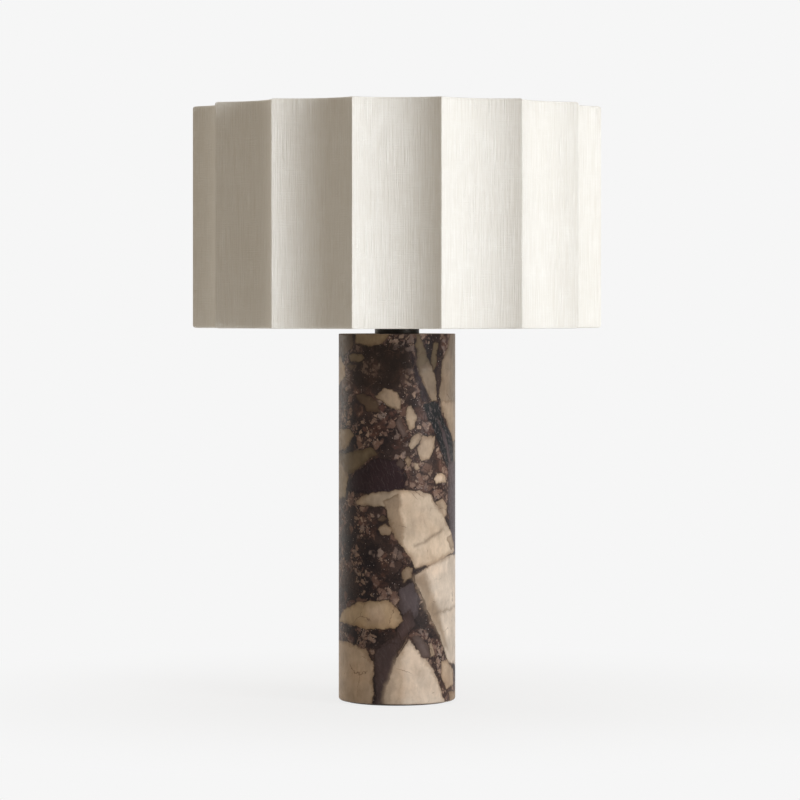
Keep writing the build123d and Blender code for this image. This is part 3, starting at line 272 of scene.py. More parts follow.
# The fragments in the stone's front, each with its colour and its convex outline in the photograph's
# pixels. A pixel past the column's edge goes on round it by EDGE_STEP.
COLUMN_MIDDLE_PIXEL = 393.05
COLUMN_HALF_PIXELS = 57.95
EDGE_STEP = radians(2.2)
FRAGMENTS = {
    # Painted shade: the column's top made darker, where the lampshade shades it.
    "top painted shade": (
        UMBER,
        [(345, 352), (362, 338), (390, 338), (410, 348), (412, 384), (380, 396), (347, 388)],
    ),
    "top left shade": (BROWN, [(325, 330), (350, 330), (349, 350), (341, 356), (325, 355)]),
    "top olive": (OLIVE, [(351, 344), (352, 330), (389, 330), (383, 339), (375, 345), (363, 347)]),
    "left pale": (TAN, [(325, 357), (338, 356), (343, 365), (342, 376), (336, 385), (325, 388)]),
    "left grey": (MOSS, [(345, 355), (359, 353), (362, 358), (356, 363), (348, 361)]),
    "small tan": (BROWN, [(343, 364), (349, 362), (353, 366), (348, 370)]),
    "middle pale": (TAN, [(371, 396), (379, 387), (390, 390), (397, 399), (397, 409), (385, 408)]),
    "middle brown": (BROWN, [(352, 396), (362, 392), (374, 401), (377, 414), (365, 412)]),
    "lozenge": (PALE, [(402, 417), (404, 405), (409, 403), (414, 417), (412, 428), (406, 431)]),
    "mauve chip": (MAUVE, [(392, 422), (396, 416), (401, 423), (404, 436), (397, 438)]),
    "streak top": (MOSS, [(411, 330), (415, 334), (427, 363), (424, 386), (417, 382), (412, 362)]),
    "streak foot": (FAWN, [(415, 366), (425, 360), (432, 378), (432, 400), (426, 401), (419, 389)]),
    "notch streak": (MOSS, [(430, 341), (434, 341), (434, 360), (429, 372), (427, 360)]),
    "right edge top": (FAWN, [(446, 330), (470, 330), (470, 420), (438, 412), (434, 394), (438, 362)]),
    "right edge foot": (TAN, [(436, 400), (470, 396), (470, 480), (452, 468), (444, 430)]),
    "charcoal vein": (PLUM, [(405, 352), (408, 352), (423, 402), (417, 402)]),
    "charcoal head": (CHARCOAL, [(419, 405), (427, 400), (434, 402), (440, 417), (436, 432), (426, 422)]),
    "charcoal bend": (CHARCOAL, [(427, 420), (438, 415), (445, 434), (450, 470), (444, 473), (435, 450)]),
    "charcoal gleam": (SLATE, [(433, 416), (435, 418), (442, 440), (446, 462), (444, 463), (438, 440)]),
    "grey edge": (GREY, [(448, 442), (457, 436), (457, 505), (450, 505)]),
    "slate edge": (SLATE, [(443, 462), (457, 462), (457, 596), (450, 596), (446, 540), (443, 500)]),
    "upper left olive": (OLIVE, [(325, 430), (346, 428), (352, 436), (345, 447), (325, 460)]),
    "olive cheek": (
        MOSS,
        [(340, 452), (371, 448), (374, 455), (352, 472), (344, 476), (325, 480), (325, 458)],
    ),
    "left olive": (OLIVE, [(325, 460), (338, 462), (346, 476), (342, 498), (325, 503)]),
    "plum patch": (
        PLUM,
        [(344, 490), (350, 474), (374, 458), (392, 460), (403, 472), (403, 489), (378, 495)],
    ),
    "heart": (HONEY, [(413, 447), (416, 436), (431, 436), (430, 448), (425, 459), (419, 462), (414, 457)]),
    "heart lobe": (PALE, [(404, 447), (407, 437), (413, 432), (417, 437), (412, 446), (407, 450)]),
    "chip below": (TAN, [(400, 460), (404, 456), (408, 461), (404, 468)]),
    "chip right": (PALE, [(410, 467), (411, 462), (416, 462), (417, 468), (412, 471)]),
    "chip left": (MAUVE, [(392, 465), (396, 458), (400, 464), (396, 470)]),
    "white chip": (CREAM, [(430, 478), (434, 473), (441, 474), (441, 482), (432, 483)]),
    "orange chip": (HONEY, [(431, 501), (437, 498), (443, 506), (443, 514), (438, 519)]),
    "cream wing": (PALE, [(350, 503), (359, 495), (384, 490), (402, 490), (396, 511), (374, 508)]),
    "wing root": (TAN, [(378, 502), (398, 493), (404, 556), (396, 546), (386, 525)]),
    "great cream": (
        CREAM,
        [(394, 491), (415, 489), (426, 494), (441, 518), (450, 551), (410, 569), (397, 546)],
    ),
    "lower cream": (
        IVORY,
        [(411, 574), (430, 561), (448, 554), (466, 561), (466, 680), (443, 660), (424, 613), (412, 587)],
    ),
    "lower cream tan": (TAN, [(405, 574), (422, 566), (446, 652), (438, 650), (419, 613), (407, 587)]),
    "first band": (FAWN, [(408, 545), (439, 525), (441, 530), (410, 550)]),
    "second band": (FAWN, [(427, 612), (452, 602), (454, 606), (429, 617)]),
    "grey wedge": (TAN, [(397, 573), (401, 566), (409, 568), (408, 577), (400, 582)]),
    "upper oval": (TAN, [(375, 528), (383, 524), (390, 528), (388, 535), (380, 537)]),
    "small oval": (BROWN, [(373, 519), (379, 515), (384, 519), (380, 524)]),
    "right sliver": (PALE, [(442, 538), (446, 534), (450, 545), (446, 551)]),
    "stem head": (SLATE, [(393, 590), (409, 580), (415, 604), (413, 616), (402, 624), (396, 610)]),
    "stem right": (STEM, [(396, 618), (406, 608), (410, 624), (397, 648), (386, 650)]),
    "stem left": (STEM, [(374, 645), (394, 632), (399, 646), (386, 662)]),
    "stem foot": (STEM, [(371, 650), (386, 640), (397, 645), (391, 668), (379, 710), (370, 710)]),
    "half moon": (
        SAND,
        [(336, 620), (341, 608), (356, 600), (385, 600), (396, 610), (398, 620), (391, 628), (360, 629)],
    ),
    "half moon glow": (HONEY, [(360, 604), (382, 602), (384, 626), (362, 627)]),
    "lower left": (HONEY, [(325, 641), (344, 641), (363, 651), (371, 664), (368, 710), (325, 710)]),
    "lower cream point": (IVORY, [(405, 640), (429, 671), (444, 710), (378, 710), (382, 688), (391, 662)]),
    "point shade": (HONEY, [(372, 710), (376, 688), (388, 660), (404, 634), (404, 710)]),
    "mauve band": (MAUVE, [(407, 639), (413, 636), (423, 646), (426, 659), (416, 657)]),
    "band chip": (PALE, [(424, 645), (427, 643), (430, 656), (425, 658)]),
    "orange oval": (HONEY, [(437, 661), (443, 658), (449, 670), (449, 684), (442, 689), (437, 678)]),
    "lower right": (TAN, [(444, 691), (457, 688), (457, 710), (446, 710)]),
}


def on_column(pixel):
    """A pixel's place on the column: the distance round it from the front, and the height."""
    across, down = pixel
    off = (across - COLUMN_MIDDLE_PIXEL) / COLUMN_HALF_PIXELS
    turn = asin(max(-1, min(1, off)))
    past = max(0, abs(off) - 1) * COLUMN_HALF_PIXELS * EDGE_STEP
    turn += past if off > 0 else -past
    nearer = 1 - COLUMN_RADIUS * cos(turn) / CAMERA_DISTANCE
    height = CAMERA_HEIGHT - (down - HORIZON_ROW) * METRES_PER_PIXEL * nearer
    return turn * COLUMN_RADIUS, height


def fragment_distance(paint, spot, outline):
    """How far a spot lies outside the outline, in metres: the greatest of its sides' distances."""
    points = [on_column(pixel) for pixel in outline]
    middle = Vector([sum(axis) / len(points) for axis in zip(*points)])
    farthest = None
    for start, end in zip(points, points[1:] + points[:1]):
        side = Vector(end) - Vector(start)
        outward = Vector((side.y, -side.x)).normalized()
        if outward.dot(middle - Vector(start)) > 0:
            outward = -outward
        offset = -outward.dot(Vector(start))
        distance = paint.vector("DOT_PRODUCT", spot, (*outward, offset), output=1)
        if farthest is None:
            farthest = distance
        else:
            farthest = paint.math("SMOOTH_MAX", farthest, distance, CORNER_ROUND)
    return farthest


def stone_shift(paint):
    """How far each spot of the stone lies off its drawn place."""
    middle = (0.5,) * 3
    wander = paint.noise(paint.place, 34, detail=2, output="Color")
    wander = paint.vector("MULTIPLY", paint.vector("SUBTRACT", wander, middle), (WANDER,) * 3)
    fray = paint.noise(paint.place, 150, detail=5, roughness=0.62, output="Color")
    fray = paint.vector("MULTIPLY", paint.vector("SUBTRACT", fray, middle), (FRAY,) * 3)
    return paint.vector("ADD", wander, fray)


def stone_chips(paint, moved, gather, colour, scale, bar, tints, strength):
    """Angular chips of one size, strewn where they gather, painted over a colour."""
    chance, tone, _ = paint.split(paint.cells(moved, scale, output="Color"))
    chance = paint.math("ADD", chance, paint.math("MULTIPLY", gather, 0.6))
    body = paint.cells(moved, scale, feature="DISTANCE_TO_EDGE")
    shape = paint.math("MULTIPLY", paint.ramp(chance, bar, bar + 0.06), paint.ramp(body, 0.06, 0.22))
    tint = paint.mix(tone, *tints)
    return paint.mix(paint.math("MULTIPLY", shape, strength), colour, tint)


def stone_ground(paint, moved):
    """The dark ground: plum and rust clouds, full of chips that gather in some places."""
    cloud = paint.noise(paint.place, 30, detail=5, roughness=0.65)
    ground = paint.mix(paint.ramp(cloud, 0.34, 0.66), CLOUD_DARK, CLOUD_PALE)
    rust = paint.ramp(paint.noise(moved, 52, detail=5, roughness=0.65), 0.50, 0.72)
    ground = paint.mix(paint.math("MULTIPLY", rust, 0.7), ground, RUST)

    gather = paint.ramp(paint.noise(paint.place, 40, detail=2), 0.36, 0.66, -0.5, 0.5)
    for scale, bar, tints, strength, tall in CHIPS:
        drawn = paint.stretch(moved, (1, 1, tall))
        ground = stone_chips(paint, drawn, gather, ground, scale, bar, tints, strength)

    grit = paint.noise(paint.place, 420, detail=5, roughness=0.78)
    ground = paint.mix(paint.ramp(grit, 0.58, 0.72, 0.0, 0.6), ground, GRIT)
    ground = paint.mix(paint.ramp(grit, 0.44, 0.30, 0.0, 0.5), ground, SOOT)
    speck = paint.ramp(paint.cells(paint.place, SPECKS_TO_METRE), 0.24, 0.12)
    chance, _, _ = paint.split(paint.cells(paint.place, SPECKS_TO_METRE, output="Color"))
    ground = paint.mix(paint.math("MULTIPLY", speck, paint.ramp(chance, 0.80, 0.86)), ground, SPECK)

    thread = paint.cells(moved, 78, feature="DISTANCE_TO_EDGE")
    broken = paint.ramp(paint.noise(paint.place, 60, detail=2), 0.42, 0.6)
    thread = paint.math("MULTIPLY", paint.ramp(thread, 0.035, 0.0), broken)
    return paint.mix(paint.math("MULTIPLY", thread, 0.8), ground, HAIRLINE)


def stone_behind(paint, moved, behind, colour):
    """Where the photograph doesn't reach, whole cells of the stone are large fragments."""
    drawn = paint.stretch(moved, (1, 1, UPRIGHT))
    for scale, bar in BACK_FRAGMENTS:
        chance, tone, warmth = paint.split(paint.cells(drawn, scale, output="Color"))
        body = paint.cells(drawn, scale, feature="DISTANCE_TO_EDGE")
        shape = paint.math("MULTIPLY", paint.ramp(chance, bar, bar + 0.02), paint.ramp(body, 0.05, 0.075))
        shape = paint.math("MULTIPLY", shape, behind)
        stone = paint.mix(paint.ramp(tone, 0.2, 0.8), OLIVE, CREAM)
        stone = paint.mix(paint.ramp(warmth, 0.5, 0.9), stone, TAN)
        rim = paint.ramp(body, 0.20, 0.06, 0.0, 0.6)
        colour = paint.mix(shape, colour, paint.mix(rim, stone, BROWN))
    return colour


def front_spot(paint, shift):
    """The spot as (distance round from the front, height, 1), and how far the front is left behind.

    Inside the column the spot is lifted by a metre, out of every fragment's reach.
    """
    across, depth, height = paint.split(paint.place)
    shift_x, _, shift_z = paint.split(shift)
    turn = paint.math("ARCTAN2", across, paint.math("MULTIPLY", depth, -1))
    round_it = paint.math("ADD", paint.math("MULTIPLY", turn, COLUMN_RADIUS), shift_x)
    reach = paint.vector("LENGTH", paint.join(across, depth, 0), output=1)
    within = paint.ramp(reach, *(COLUMN_RADIUS - skin for skin in SKIN_DEPTHS))
    level = paint.math("ADD", paint.math("ADD", height, shift_z), within)
    behind = paint.math("MAXIMUM", within, paint.ramp(paint.math("ABSOLUTE", turn), *SIDE_TURNS))
    return paint.join(round_it, level, 1), behind


def stone_strands(paint, shift):
    """Fine strands, which lean as the dark belt at the column's right does."""
    across, depth, height = paint.split(paint.place)
    slant = paint.math("ADD", across, paint.math("MULTIPLY", height, STRAND_LEAN))
    slant = paint.vector("ADD", paint.join(slant, depth, height), shift)
    strand = paint.noise(paint.stretch(slant, (1, 1, 0.14)), 620, detail=4, roughness=0.65)
    return paint.ramp(strand, 0.50, 0.68, 0.0, 0.85)


def stone_fragments(paint, spot, cloudy, strand, colour):
    """The front's own fragments, each with a browner rim, and a dark line round them all."""
    rim_depth = paint.ramp(cloudy, 0.35, 0.65, *(-depth for depth in RIM_DEPTHS))
    nearest = 1.0
    for name, (tint, outline) in FRAGMENTS.items():
        away = fragment_distance(paint, spot, outline)
        if name in SOFT_EDGED:
            share = paint.ramp(away, 1 * MM, -SOFT_DEPTH, 0.0, SOFT_EDGED[name])
            colour = paint.mix(share, colour, tint)
            continue
        rim = paint.math("MULTIPLY", paint.ramp(away, rim_depth, 0.0), RIM_STRENGTH)
        dark = tuple(part * browner for part, browner in zip(tint, RIM_TINT))
        inner = paint.mix(rim, tint, dark)
        if max(tint) < DARK_TINT:
            strength = 1.0 if name in STRANDED else FAINT_STRANDS
            inner = paint.mix(paint.math("MULTIPLY", strand, strength), inner, STRAND)
        colour = paint.mix(paint.ramp(away, EDGE_OUT, EDGE_IN), colour, inner)
        nearest = paint.math("MINIMUM", nearest, away)
    line = paint.ramp(paint.math("ABSOLUTE", nearest), OUTLINE_WIDTH, 0.0)
    patchy = paint.ramp(paint.noise(paint.place, 90, detail=2), 0.4, 0.62, 0.25, 0.85)
    return paint.mix(paint.math("MULTIPLY", line, patchy), colour, OUTLINE)


def stone_weather(paint, moved, cloudy, colour):
    """Warm stains, clouds, streaks and cracks in all of the stone."""
    warm = paint.ramp(paint.noise(moved, 24, detail=3), 0.40, 0.75)
    colour = paint.mix(paint.math("MULTIPLY", warm, 0.4), colour, STAIN, blend="MULTIPLY")
    cloud = paint.noise(moved, 40, detail=5, roughness=0.55)
    colour = paint.shade(colour, paint.ramp(cloud, 0.28, 0.75, 0.78, 1.15))
    streak = paint.noise(paint.stretch(moved, (1, 1, 0.3)), 240, detail=4, roughness=0.6)
    colour = paint.shade(colour, paint.ramp(streak, 0.3, 0.7, 0.91, 1.08))
    crack = paint.ramp(paint.cells(moved, 27, feature="DISTANCE_TO_EDGE"), 0.012, 0.0)
    crack = paint.math("MULTIPLY", crack, paint.ramp(cloudy, 0.5, 0.62, 0.0, 0.7))
    return paint.mix(crack, colour, CRACK)


def marble():
    """Brecciated marble: cream and tan fragments, veins and grit in a plum-brown ground."""
    paint = Paint("marble_breccia")
    shift = stone_shift(paint)
    moved = paint.vector("ADD", paint.place, shift)
    spot, behind = front_spot(paint, shift)
    cloudy = paint.noise(moved, 42, detail=5, roughness=0.6)

    colour = stone_ground(paint, moved)
    colour = stone_behind(paint, moved, behind, colour)
    colour = stone_fragments(paint, spot, cloudy, stone_strands(paint, shift), colour)
    colour = stone_weather(paint, moved, cloudy, colour)

    polish = paint.ramp(paint.noise(paint.place, 300, detail=3), 0.3, 0.7, 0.36, 0.52)
    paint.set(Base_Color=colour, Roughness=polish, Specular_IOR_Level=0.10)
    pits = paint.ramp(paint.noise(paint.place, 1100, detail=2), 0.68, 0.8)
    paint.bump(paint.math("MULTIPLY", pits, -1), 0.12 * MM)
    return paint.material


# ---------------------------------------------------------------- linen

# How each kind of thread is drawn out, along the cloth's length and its width.
SLUB_DRAWN = (1.0, 0.02, 1)
THICK_DRAWN = (1.0, 0.028, 1)
CROSS_DRAWN = (0.06, 1.0, 1)

WEAVE_DARK = (0.782, 0.766, 0.726)
WEAVE_PALE = (0.838, 0.830, 0.800)
SLUB_PALE = (0.89, 0.88, 0.85)
SLUB_DARK = (0.70, 0.67, 0.61)
UNBLEACHED = (0.68, 0.64, 0.57)


def linen():
    """Off-white linen with upright slubs and a fine cross thread, laid out on the cloth's own place."""
    paint = Paint("linen_slub")
    cloth = paint.node("ShaderNodeAttribute", attribute_name="cloth").outputs["Vector"]

    slub = paint.noise(paint.stretch(cloth, SLUB_DRAWN), 1150, detail=2, roughness=0.6)
    thick = paint.noise(paint.stretch(cloth, THICK_DRAWN), 760, detail=1, roughness=0.4)
    cross = paint.noise(paint.stretch(cloth, CROSS_DRAWN), 900, detail=2, roughness=0.6)
    patchy = paint.ramp(paint.noise(cloth, 60, detail=2), 0.4, 0.65, 0.35, 1.0)
    cross = paint.math("MULTIPLY", cross, patchy)

    weave = paint.total((slub, 0.62), (thick, 0.34), (cross, 0.18))
    colour = paint.mix(paint.ramp(weave, 0.42, 0.68), WEAVE_DARK, WEAVE_PALE)
    raised = paint.ramp(thick, 0.655, 0.70)
    hollow = paint.ramp(thick, 0.345, 0.30)
    colour = paint.mix(paint.math("MULTIPLY", raised, 0.7), colour, SLUB_PALE)
    colour = paint.mix(paint.math("MULTIPLY", hollow, 0.25), colour, SLUB_DARK)
    wide = paint.noise(cloth, 14, detail=2)
    colour = paint.mix(paint.ramp(wide, 0.3, 0.7, 0.0, 0.10), colour, UNBLEACHED)

    paint.set(Base_Color=colour, Roughness=0.86, Specular_IOR_Level=0.18)
    paint.set(Sheen_Weight=0.12, Sheen_Roughness=0.5)
    paint.bump(paint.total((slub, 0.5), (cross, 0.3), (raised, 0.15)), 1.2 * MM)
    return paint.material


# ---------------------------------------------------------------- metal, plastic, glass, paper


def metal(name, colour, roughness, tarnish=0.25, drawn=(1, 1, 1)):
    """Plain metal: fine scratches drawn out along one axis, and patches of tarnish."""
    paint = Paint(name)
    scratch = paint.noise(paint.stretch(paint.place, drawn), 2600, detail=3, roughness=0.6)
    patch = paint.noise(paint.place, 160, detail=4, roughness=0.6)
    dull = tuple(0.62 * part for part in colour)
    shade = paint.math("MULTIPLY", paint.ramp(patch, 0.45, 0.8), tarnish)
    paint.set(Base_Color=paint.mix(shade, colour, dull), Metallic=1.0)
    paint.set(Roughness=paint.ramp(scratch, 0.25, 0.75, roughness * 0.75, roughness * 1.3))
    paint.bump(scratch, 0.02 * MM, strength=0.6)
    return paint.material


def plastic(name, colour, roughness, grain=0.03, speck=0.12):
    """Moulded plastic or paint: a fine grain, and a slight change of tone."""
    paint = Paint(name)
    fine = paint.noise(paint.place, 1400, detail=2)
    wide = paint.noise(paint.place, 90, detail=3)
    dark = tuple((1 - speck) * part for part in colour)
    paint.set(Base_Color=paint.mix(paint.ramp(wide, 0.3, 0.75), colour, dark))
    paint.set(Roughness=paint.ramp(wide, 0.3, 0.7, roughness * 0.85, roughness * 1.15))
    paint.bump(fine, grain * MM, strength=0.7)
    return paint.material


def earth_pvc():
    """Green insulation with a yellow stripe that winds along the wire."""
    paint = Paint("green_yellow_insulation")
    green, yellow = (0.08, 0.30, 0.07), (0.72, 0.60, 0.06)
    radians_to_metre = 900
    across, _, height = paint.split(paint.place)
    wind = paint.math("MULTIPLY", paint.math("ADD", across, height), radians_to_metre)
    stripe = paint.ramp(paint.math("SINE", wind), 0.35, 0.5)
    colour = paint.mix(stripe, green, yellow)
    paint.set(Base_Color=colour, Roughness=0.42)
    paint.bump(paint.noise(paint.place, 900, detail=2), 0.03 * MM)
    return paint.material


def opal():
    """White opal glass, glossy outside, with a slight milky cloud."""
    paint = Paint("opal_glass")
    milk, clear = (0.83, 0.83, 0.81), (0.90, 0.90, 0.88)
    cloud = paint.noise(paint.place, 70, detail=3)
    colour = paint.mix(paint.ramp(cloud, 0.3, 0.7), milk, clear)
    paint.set(Base_Color=colour, Roughness=0.16, Coat_Weight=0.5, Coat_Roughness=0.05)
    paint.set(Subsurface_Weight=0.25, Subsurface_Radius=(0.01, 0.01, 0.01), Subsurface_Scale=0.3)
    paint.bump(paint.noise(paint.place, 35, detail=2), 0.08 * MM, strength=0.4)
    return paint.material


def fish_paper():
    """Brown vulcanised fibre with long pale fibres."""
    paint = Paint("fibre_paper")
    dark, pale = (0.26, 0.18, 0.10), (0.50, 0.39, 0.25)
    strand = paint.noise(paint.stretch(paint.place, (1, 1, 0.15)), 700, detail=4, roughness=0.65)
    colour = paint.mix(paint.ramp(strand, 0.35, 0.7), dark, pale)
    paint.set(Base_Color=colour, Roughness=0.8)
    paint.bump(strand, 0.08 * MM)
    return paint.material


def styrene():
    """The shade's stiff white lining: satin, with faint waves left by the rolling."""
    paint = Paint("styrene_lining")
    dark, pale = (0.80, 0.785, 0.74), (0.87, 0.86, 0.825)
    wave = paint.noise(paint.stretch(paint.place, (1, 1, 0.2)), 45, detail=3)
    fine = paint.noise(paint.place, 1800, detail=2)
    colour = paint.mix(paint.ramp(wave, 0.3, 0.7), dark, pale)
    paint.set(Base_Color=colour, Roughness=paint.ramp(wave, 0.3, 0.7, 0.42, 0.55))
    paint.bump(fine, 0.03 * MM, strength=0.5)
    return paint.material


def wool_felt():
    """Dense black wool felt."""
    paint = Paint("wool_felt")
    black, grey = (0.012, 0.012, 0.012), (0.055, 0.052, 0.05)
    fibre = paint.noise(paint.place, 1500, detail=5, roughness=0.75, distortion=1.2)
    tuft = paint.cells(paint.place, 700)
    colour = paint.mix(paint.ramp(fibre, 0.35, 0.7), black, grey)
    paint.set(Base_Color=colour, Roughness=0.95, Sheen_Weight=0.3, Sheen_Roughness=0.6)
    paint.bump(paint.math("ADD", fibre, tuft), 0.35 * MM)
    return paint.material


# The record's material slots, each with its finish.
FINISHES = {
    "marble": marble(),
    "black_steel": plastic("black_paint", (0.022, 0.022, 0.022), 0.5, grain=0.06),
    "zinc_steel": metal("zinc_plate", (0.60, 0.60, 0.58), 0.30),
    "grey_nylon": plastic("grey_nylon", (0.20, 0.20, 0.20), 0.55),
    "black_nylon": plastic("black_nylon", (0.018, 0.018, 0.018), 0.45),
    "white_nylon": plastic("white_nylon", (0.74, 0.73, 0.69), 0.4),
    "brass": metal("brass", (0.62, 0.43, 0.185), 0.28, tarnish=0.6, drawn=(1, 1, 0.06)),
    "tinned_brass": metal("tinned_brass", (0.62, 0.58, 0.49), 0.3, drawn=(1, 1, 0.06)),
    "brown_pvc": plastic("brown_insulation", (0.10, 0.045, 0.024), 0.42),
    "blue_pvc": plastic("blue_insulation", (0.02, 0.10, 0.34), 0.42),
    "green_pvc": earth_pvc(),
    "dark_bronze": metal("dark_bronze", (0.030, 0.027, 0.024), 0.42, tarnish=0.3, drawn=(1, 1, 0.1)),
    "nickel": metal("satin_nickel", (0.58, 0.55, 0.50), 0.32, drawn=(1, 1, 0.05)),
    "fibre": fish_paper(),
    "porcelain": plastic("glazed_porcelain", (0.76, 0.74, 0.69), 0.16, grain=0.01, speck=0.06),
    "black_phenolic": plastic("black_phenolic", (0.015, 0.014, 0.013), 0.22, grain=0.01),
    "opal_glass": opal(),
    "bulb_aluminium": metal("bulb_aluminium", (0.70, 0.70, 0.69), 0.34),
    "black_glass": plastic("black_glass", (0.012, 0.012, 0.014), 0.12, grain=0.01),
    "solder": metal("solder", (0.50, 0.50, 0.49), 0.45, tarnish=0.5),
    "white_wire": plastic("white_epoxy", (0.78, 0.77, 0.74), 0.38, grain=0.04),
    "lining": styrene(),
    "linen": linen(),
    "felt": wool_felt(),
}

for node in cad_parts.values():
    for slot in node.material_slots:
        slot.material = FINISHES[slot.material.name]

# ---------------------------------------------------------------- the scene's own meshes


def new_mesh(name, points, faces, material, smooth):
    """A mesh object in the scene."""
    mesh = bpy.data.meshes.new(name)
    mesh.from_pydata(points, [], faces)
    mesh.polygons.foreach_set("use_smooth", [smooth] * len(mesh.polygons))
    mesh.materials.append(material)
    made = bpy.data.objects.new(name, mesh)
    bpy.context.scene.collection.objects.link(made)
    return made


# ---------------------------------------------------------------- the linen cover

# The cloth rolls over each ring wire, HEM_WIDTH wide, and its TURNED_EDGE lies back on the lining. It
# bends round the ridges by RIDGE_ROUND outside, and nowhere by less than LEAST_ROUND. At the seam it
# laps over itself, and rises by SEAM_LIFT over the share SEAM_RISE of the seam's width.
RIDGE_ROUND = 0.7 * MM
LEAST_ROUND = 0.3 * MM
HEM_WIDTH = 5.2 * MM
HEM_TUCK = 0.3 * MM
HEM_TUCK_DROP = 0.85 * HEM_WIDTH
TURNED_EDGE = 7 * MM
LINING_FACE = 1.5 * MM
SEAM_WIDTH = 11 * MM
SEAM_LIFT = 0.5 * MM
SEAM_RISE = 0.6
CLOTH_THICKNESS = 0.45 * MM
FLUTE_STEPS = 30
RIDGE_STEPS = 6
HEM_STEPS = 8
SIDE_STEPS = 56
LAP_STEPS = 5


def ridge_reach(inset):
    """The distance from the axis to where two flutes meet, both moved inwards by inset."""
    across = FLUTE_CENTRE * sin(PITCH / 2)
    return FLUTE_CENTRE * cos(PITCH / 2) - sqrt((FLUTE_RADIUS + inset) ** 2 - across**2)


def cover_stations():
    """The cloth's way round the shade, from the back ridge to the back ridge, as (kind, flute, share)."""
    stations = []
    for flute in range(FLUTE_COUNT):
        stations += [("flute", flute, step / FLUTE_STEPS) for step in range(FLUTE_STEPS)]
        stations += [("ridge", flute, step / RIDGE_STEPS) for step in range(RIDGE_STEPS)]
    arc = 2 * FLUTE_RADIUS * asin(HALF_WIDTH / FLUTE_RADIUS)
    lap = SEAM_WIDTH / arc
    stations += [("flute", FLUTE_COUNT, step / LAP_STEPS * lap) for step in range(LAP_STEPS + 1)]
    return stations


def polar(reach, turn):
    """A place in plan, at a reach from the middle and a turn from +X."""
    return Vector((reach * cos(turn), reach * sin(turn)))


def cover_point(station, inset):
    """A station's place in plan, with the cloth moved inwards by inset."""
    kind, flute, share = station
    middle = pi / 2 + (flute + 0.5) * PITCH
    after = middle + PITCH / 2
    ridge_round = max(RIDGE_ROUND, inset + LEAST_ROUND)
    ridge = ridge_reach(ridge_round)
    centre = polar(FLUTE_CENTRE, middle)
    if kind == "flute":
        half_turn = atan2(ridge * sin(PITCH / 2), FLUTE_CENTRE - ridge * cos(PITCH / 2))
        return centre + polar(FLUTE_RADIUS + inset, middle + pi + half_turn * (1 - 2 * share))
    corner = polar(ridge, after)
    away = atan2(centre.y - corner.y, centre.x - corner.x)
    swing = (after - away + pi) % (2 * pi) - pi
    return corner + polar(ridge_round - inset, away + 2 * swing * share)


def cover_section():
    """The cloth's section, as (inset, height): from its turned edge over the top, down, and under."""
    roll = HEM_WIDTH / 2
    edge = [
        (LINING_FACE, HEM_WIDTH + TURNED_EDGE),
        (LINING_FACE, HEM_WIDTH),
        (HEM_WIDTH - HEM_TUCK, HEM_TUCK_DROP),
    ]
    top = [(inset, SHADE_TOP - drop) for inset, drop in edge]
    for step in range(HEM_STEPS + 1):
        turn = pi * step / HEM_STEPS
        top.append((roll + roll * cos(turn), SHADE_TOP - roll + roll * sin(turn)))
    bottom = [(inset, SHADE_TOP + SHADE_BOTTOM - height) for inset, height in reversed(top)]
    start, end = top[-1][1], bottom[0][1]
    side = [(0.0, start + (end - start) * step / SIDE_STEPS) for step in range(1, SIDE_STEPS)]
    return top + side + bottom


def build_cover():
    """The linen, one strip that laps over itself at the back ridge."""
    stations = cover_stations()
    section = cover_section()
    plan = [cover_point(station, 0) for station in stations]
    along = [0.0]
    for before, after in zip(plan, plan[1:]):
        along.append(along[-1] + (after - before).length)
    down = [0.0]
    for before, after in zip(section, section[1:]):
        down.append(down[-1] + hypot(after[0] - before[0], after[1] - before[1]))

    lap_start = along[-1] - 2 * SEAM_WIDTH
    points, cloth, faces = [], [], []
    for station, distance in zip(stations, along):
        lift = SEAM_LIFT * max(0.0, min(1.0, (distance - lap_start) / (SEAM_RISE * SEAM_WIDTH)))
        for (inset, height), drop in zip(section, down):
            spot = cover_point(station, inset - (lift if inset < LINING_FACE else 0))
            points.append((spot.x, spot.y, height))
            cloth.append((distance, drop, 0.0))
    rows = len(section)
    for column in range(len(stations) - 1):
        for row in range(rows - 1):
            corner = column * rows + row
            faces.append((corner, corner + 1, corner + rows + 1, corner + rows))

    cover = new_mesh("shade_linen", points, faces, FINISHES["linen"], smooth=True)
    layer = cover.data.attributes.new("cloth", "FLOAT_VECTOR", "POINT")
    for index, value in enumerate(cloth):
        layer.data[index].vector = value
    thick = cover.modifiers.new("thickness", "SOLIDIFY")
    thick.thickness = CLOTH_THICKNESS
    thick.offset = -1.0
    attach(cover, "shade")
    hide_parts("linen_cover")


build_cover()

# ---------------------------------------------------------------- the felt pad

felt_low, felt_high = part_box("felt_pad")
FELT_RADIUS = felt_high.x
FELT_RINGS = 10
FELT_SIDES = 160

# The felt's edge as (share of the radius, share of the thickness), and how uneven it is cut.
FELT_FACE = 0.985
FELT_RIM = [(FELT_FACE, 0.0), (1.0, 0.22), (1.0, 0.78), (FELT_FACE, 1.0)]
FELT_UNEVEN = 0.0025


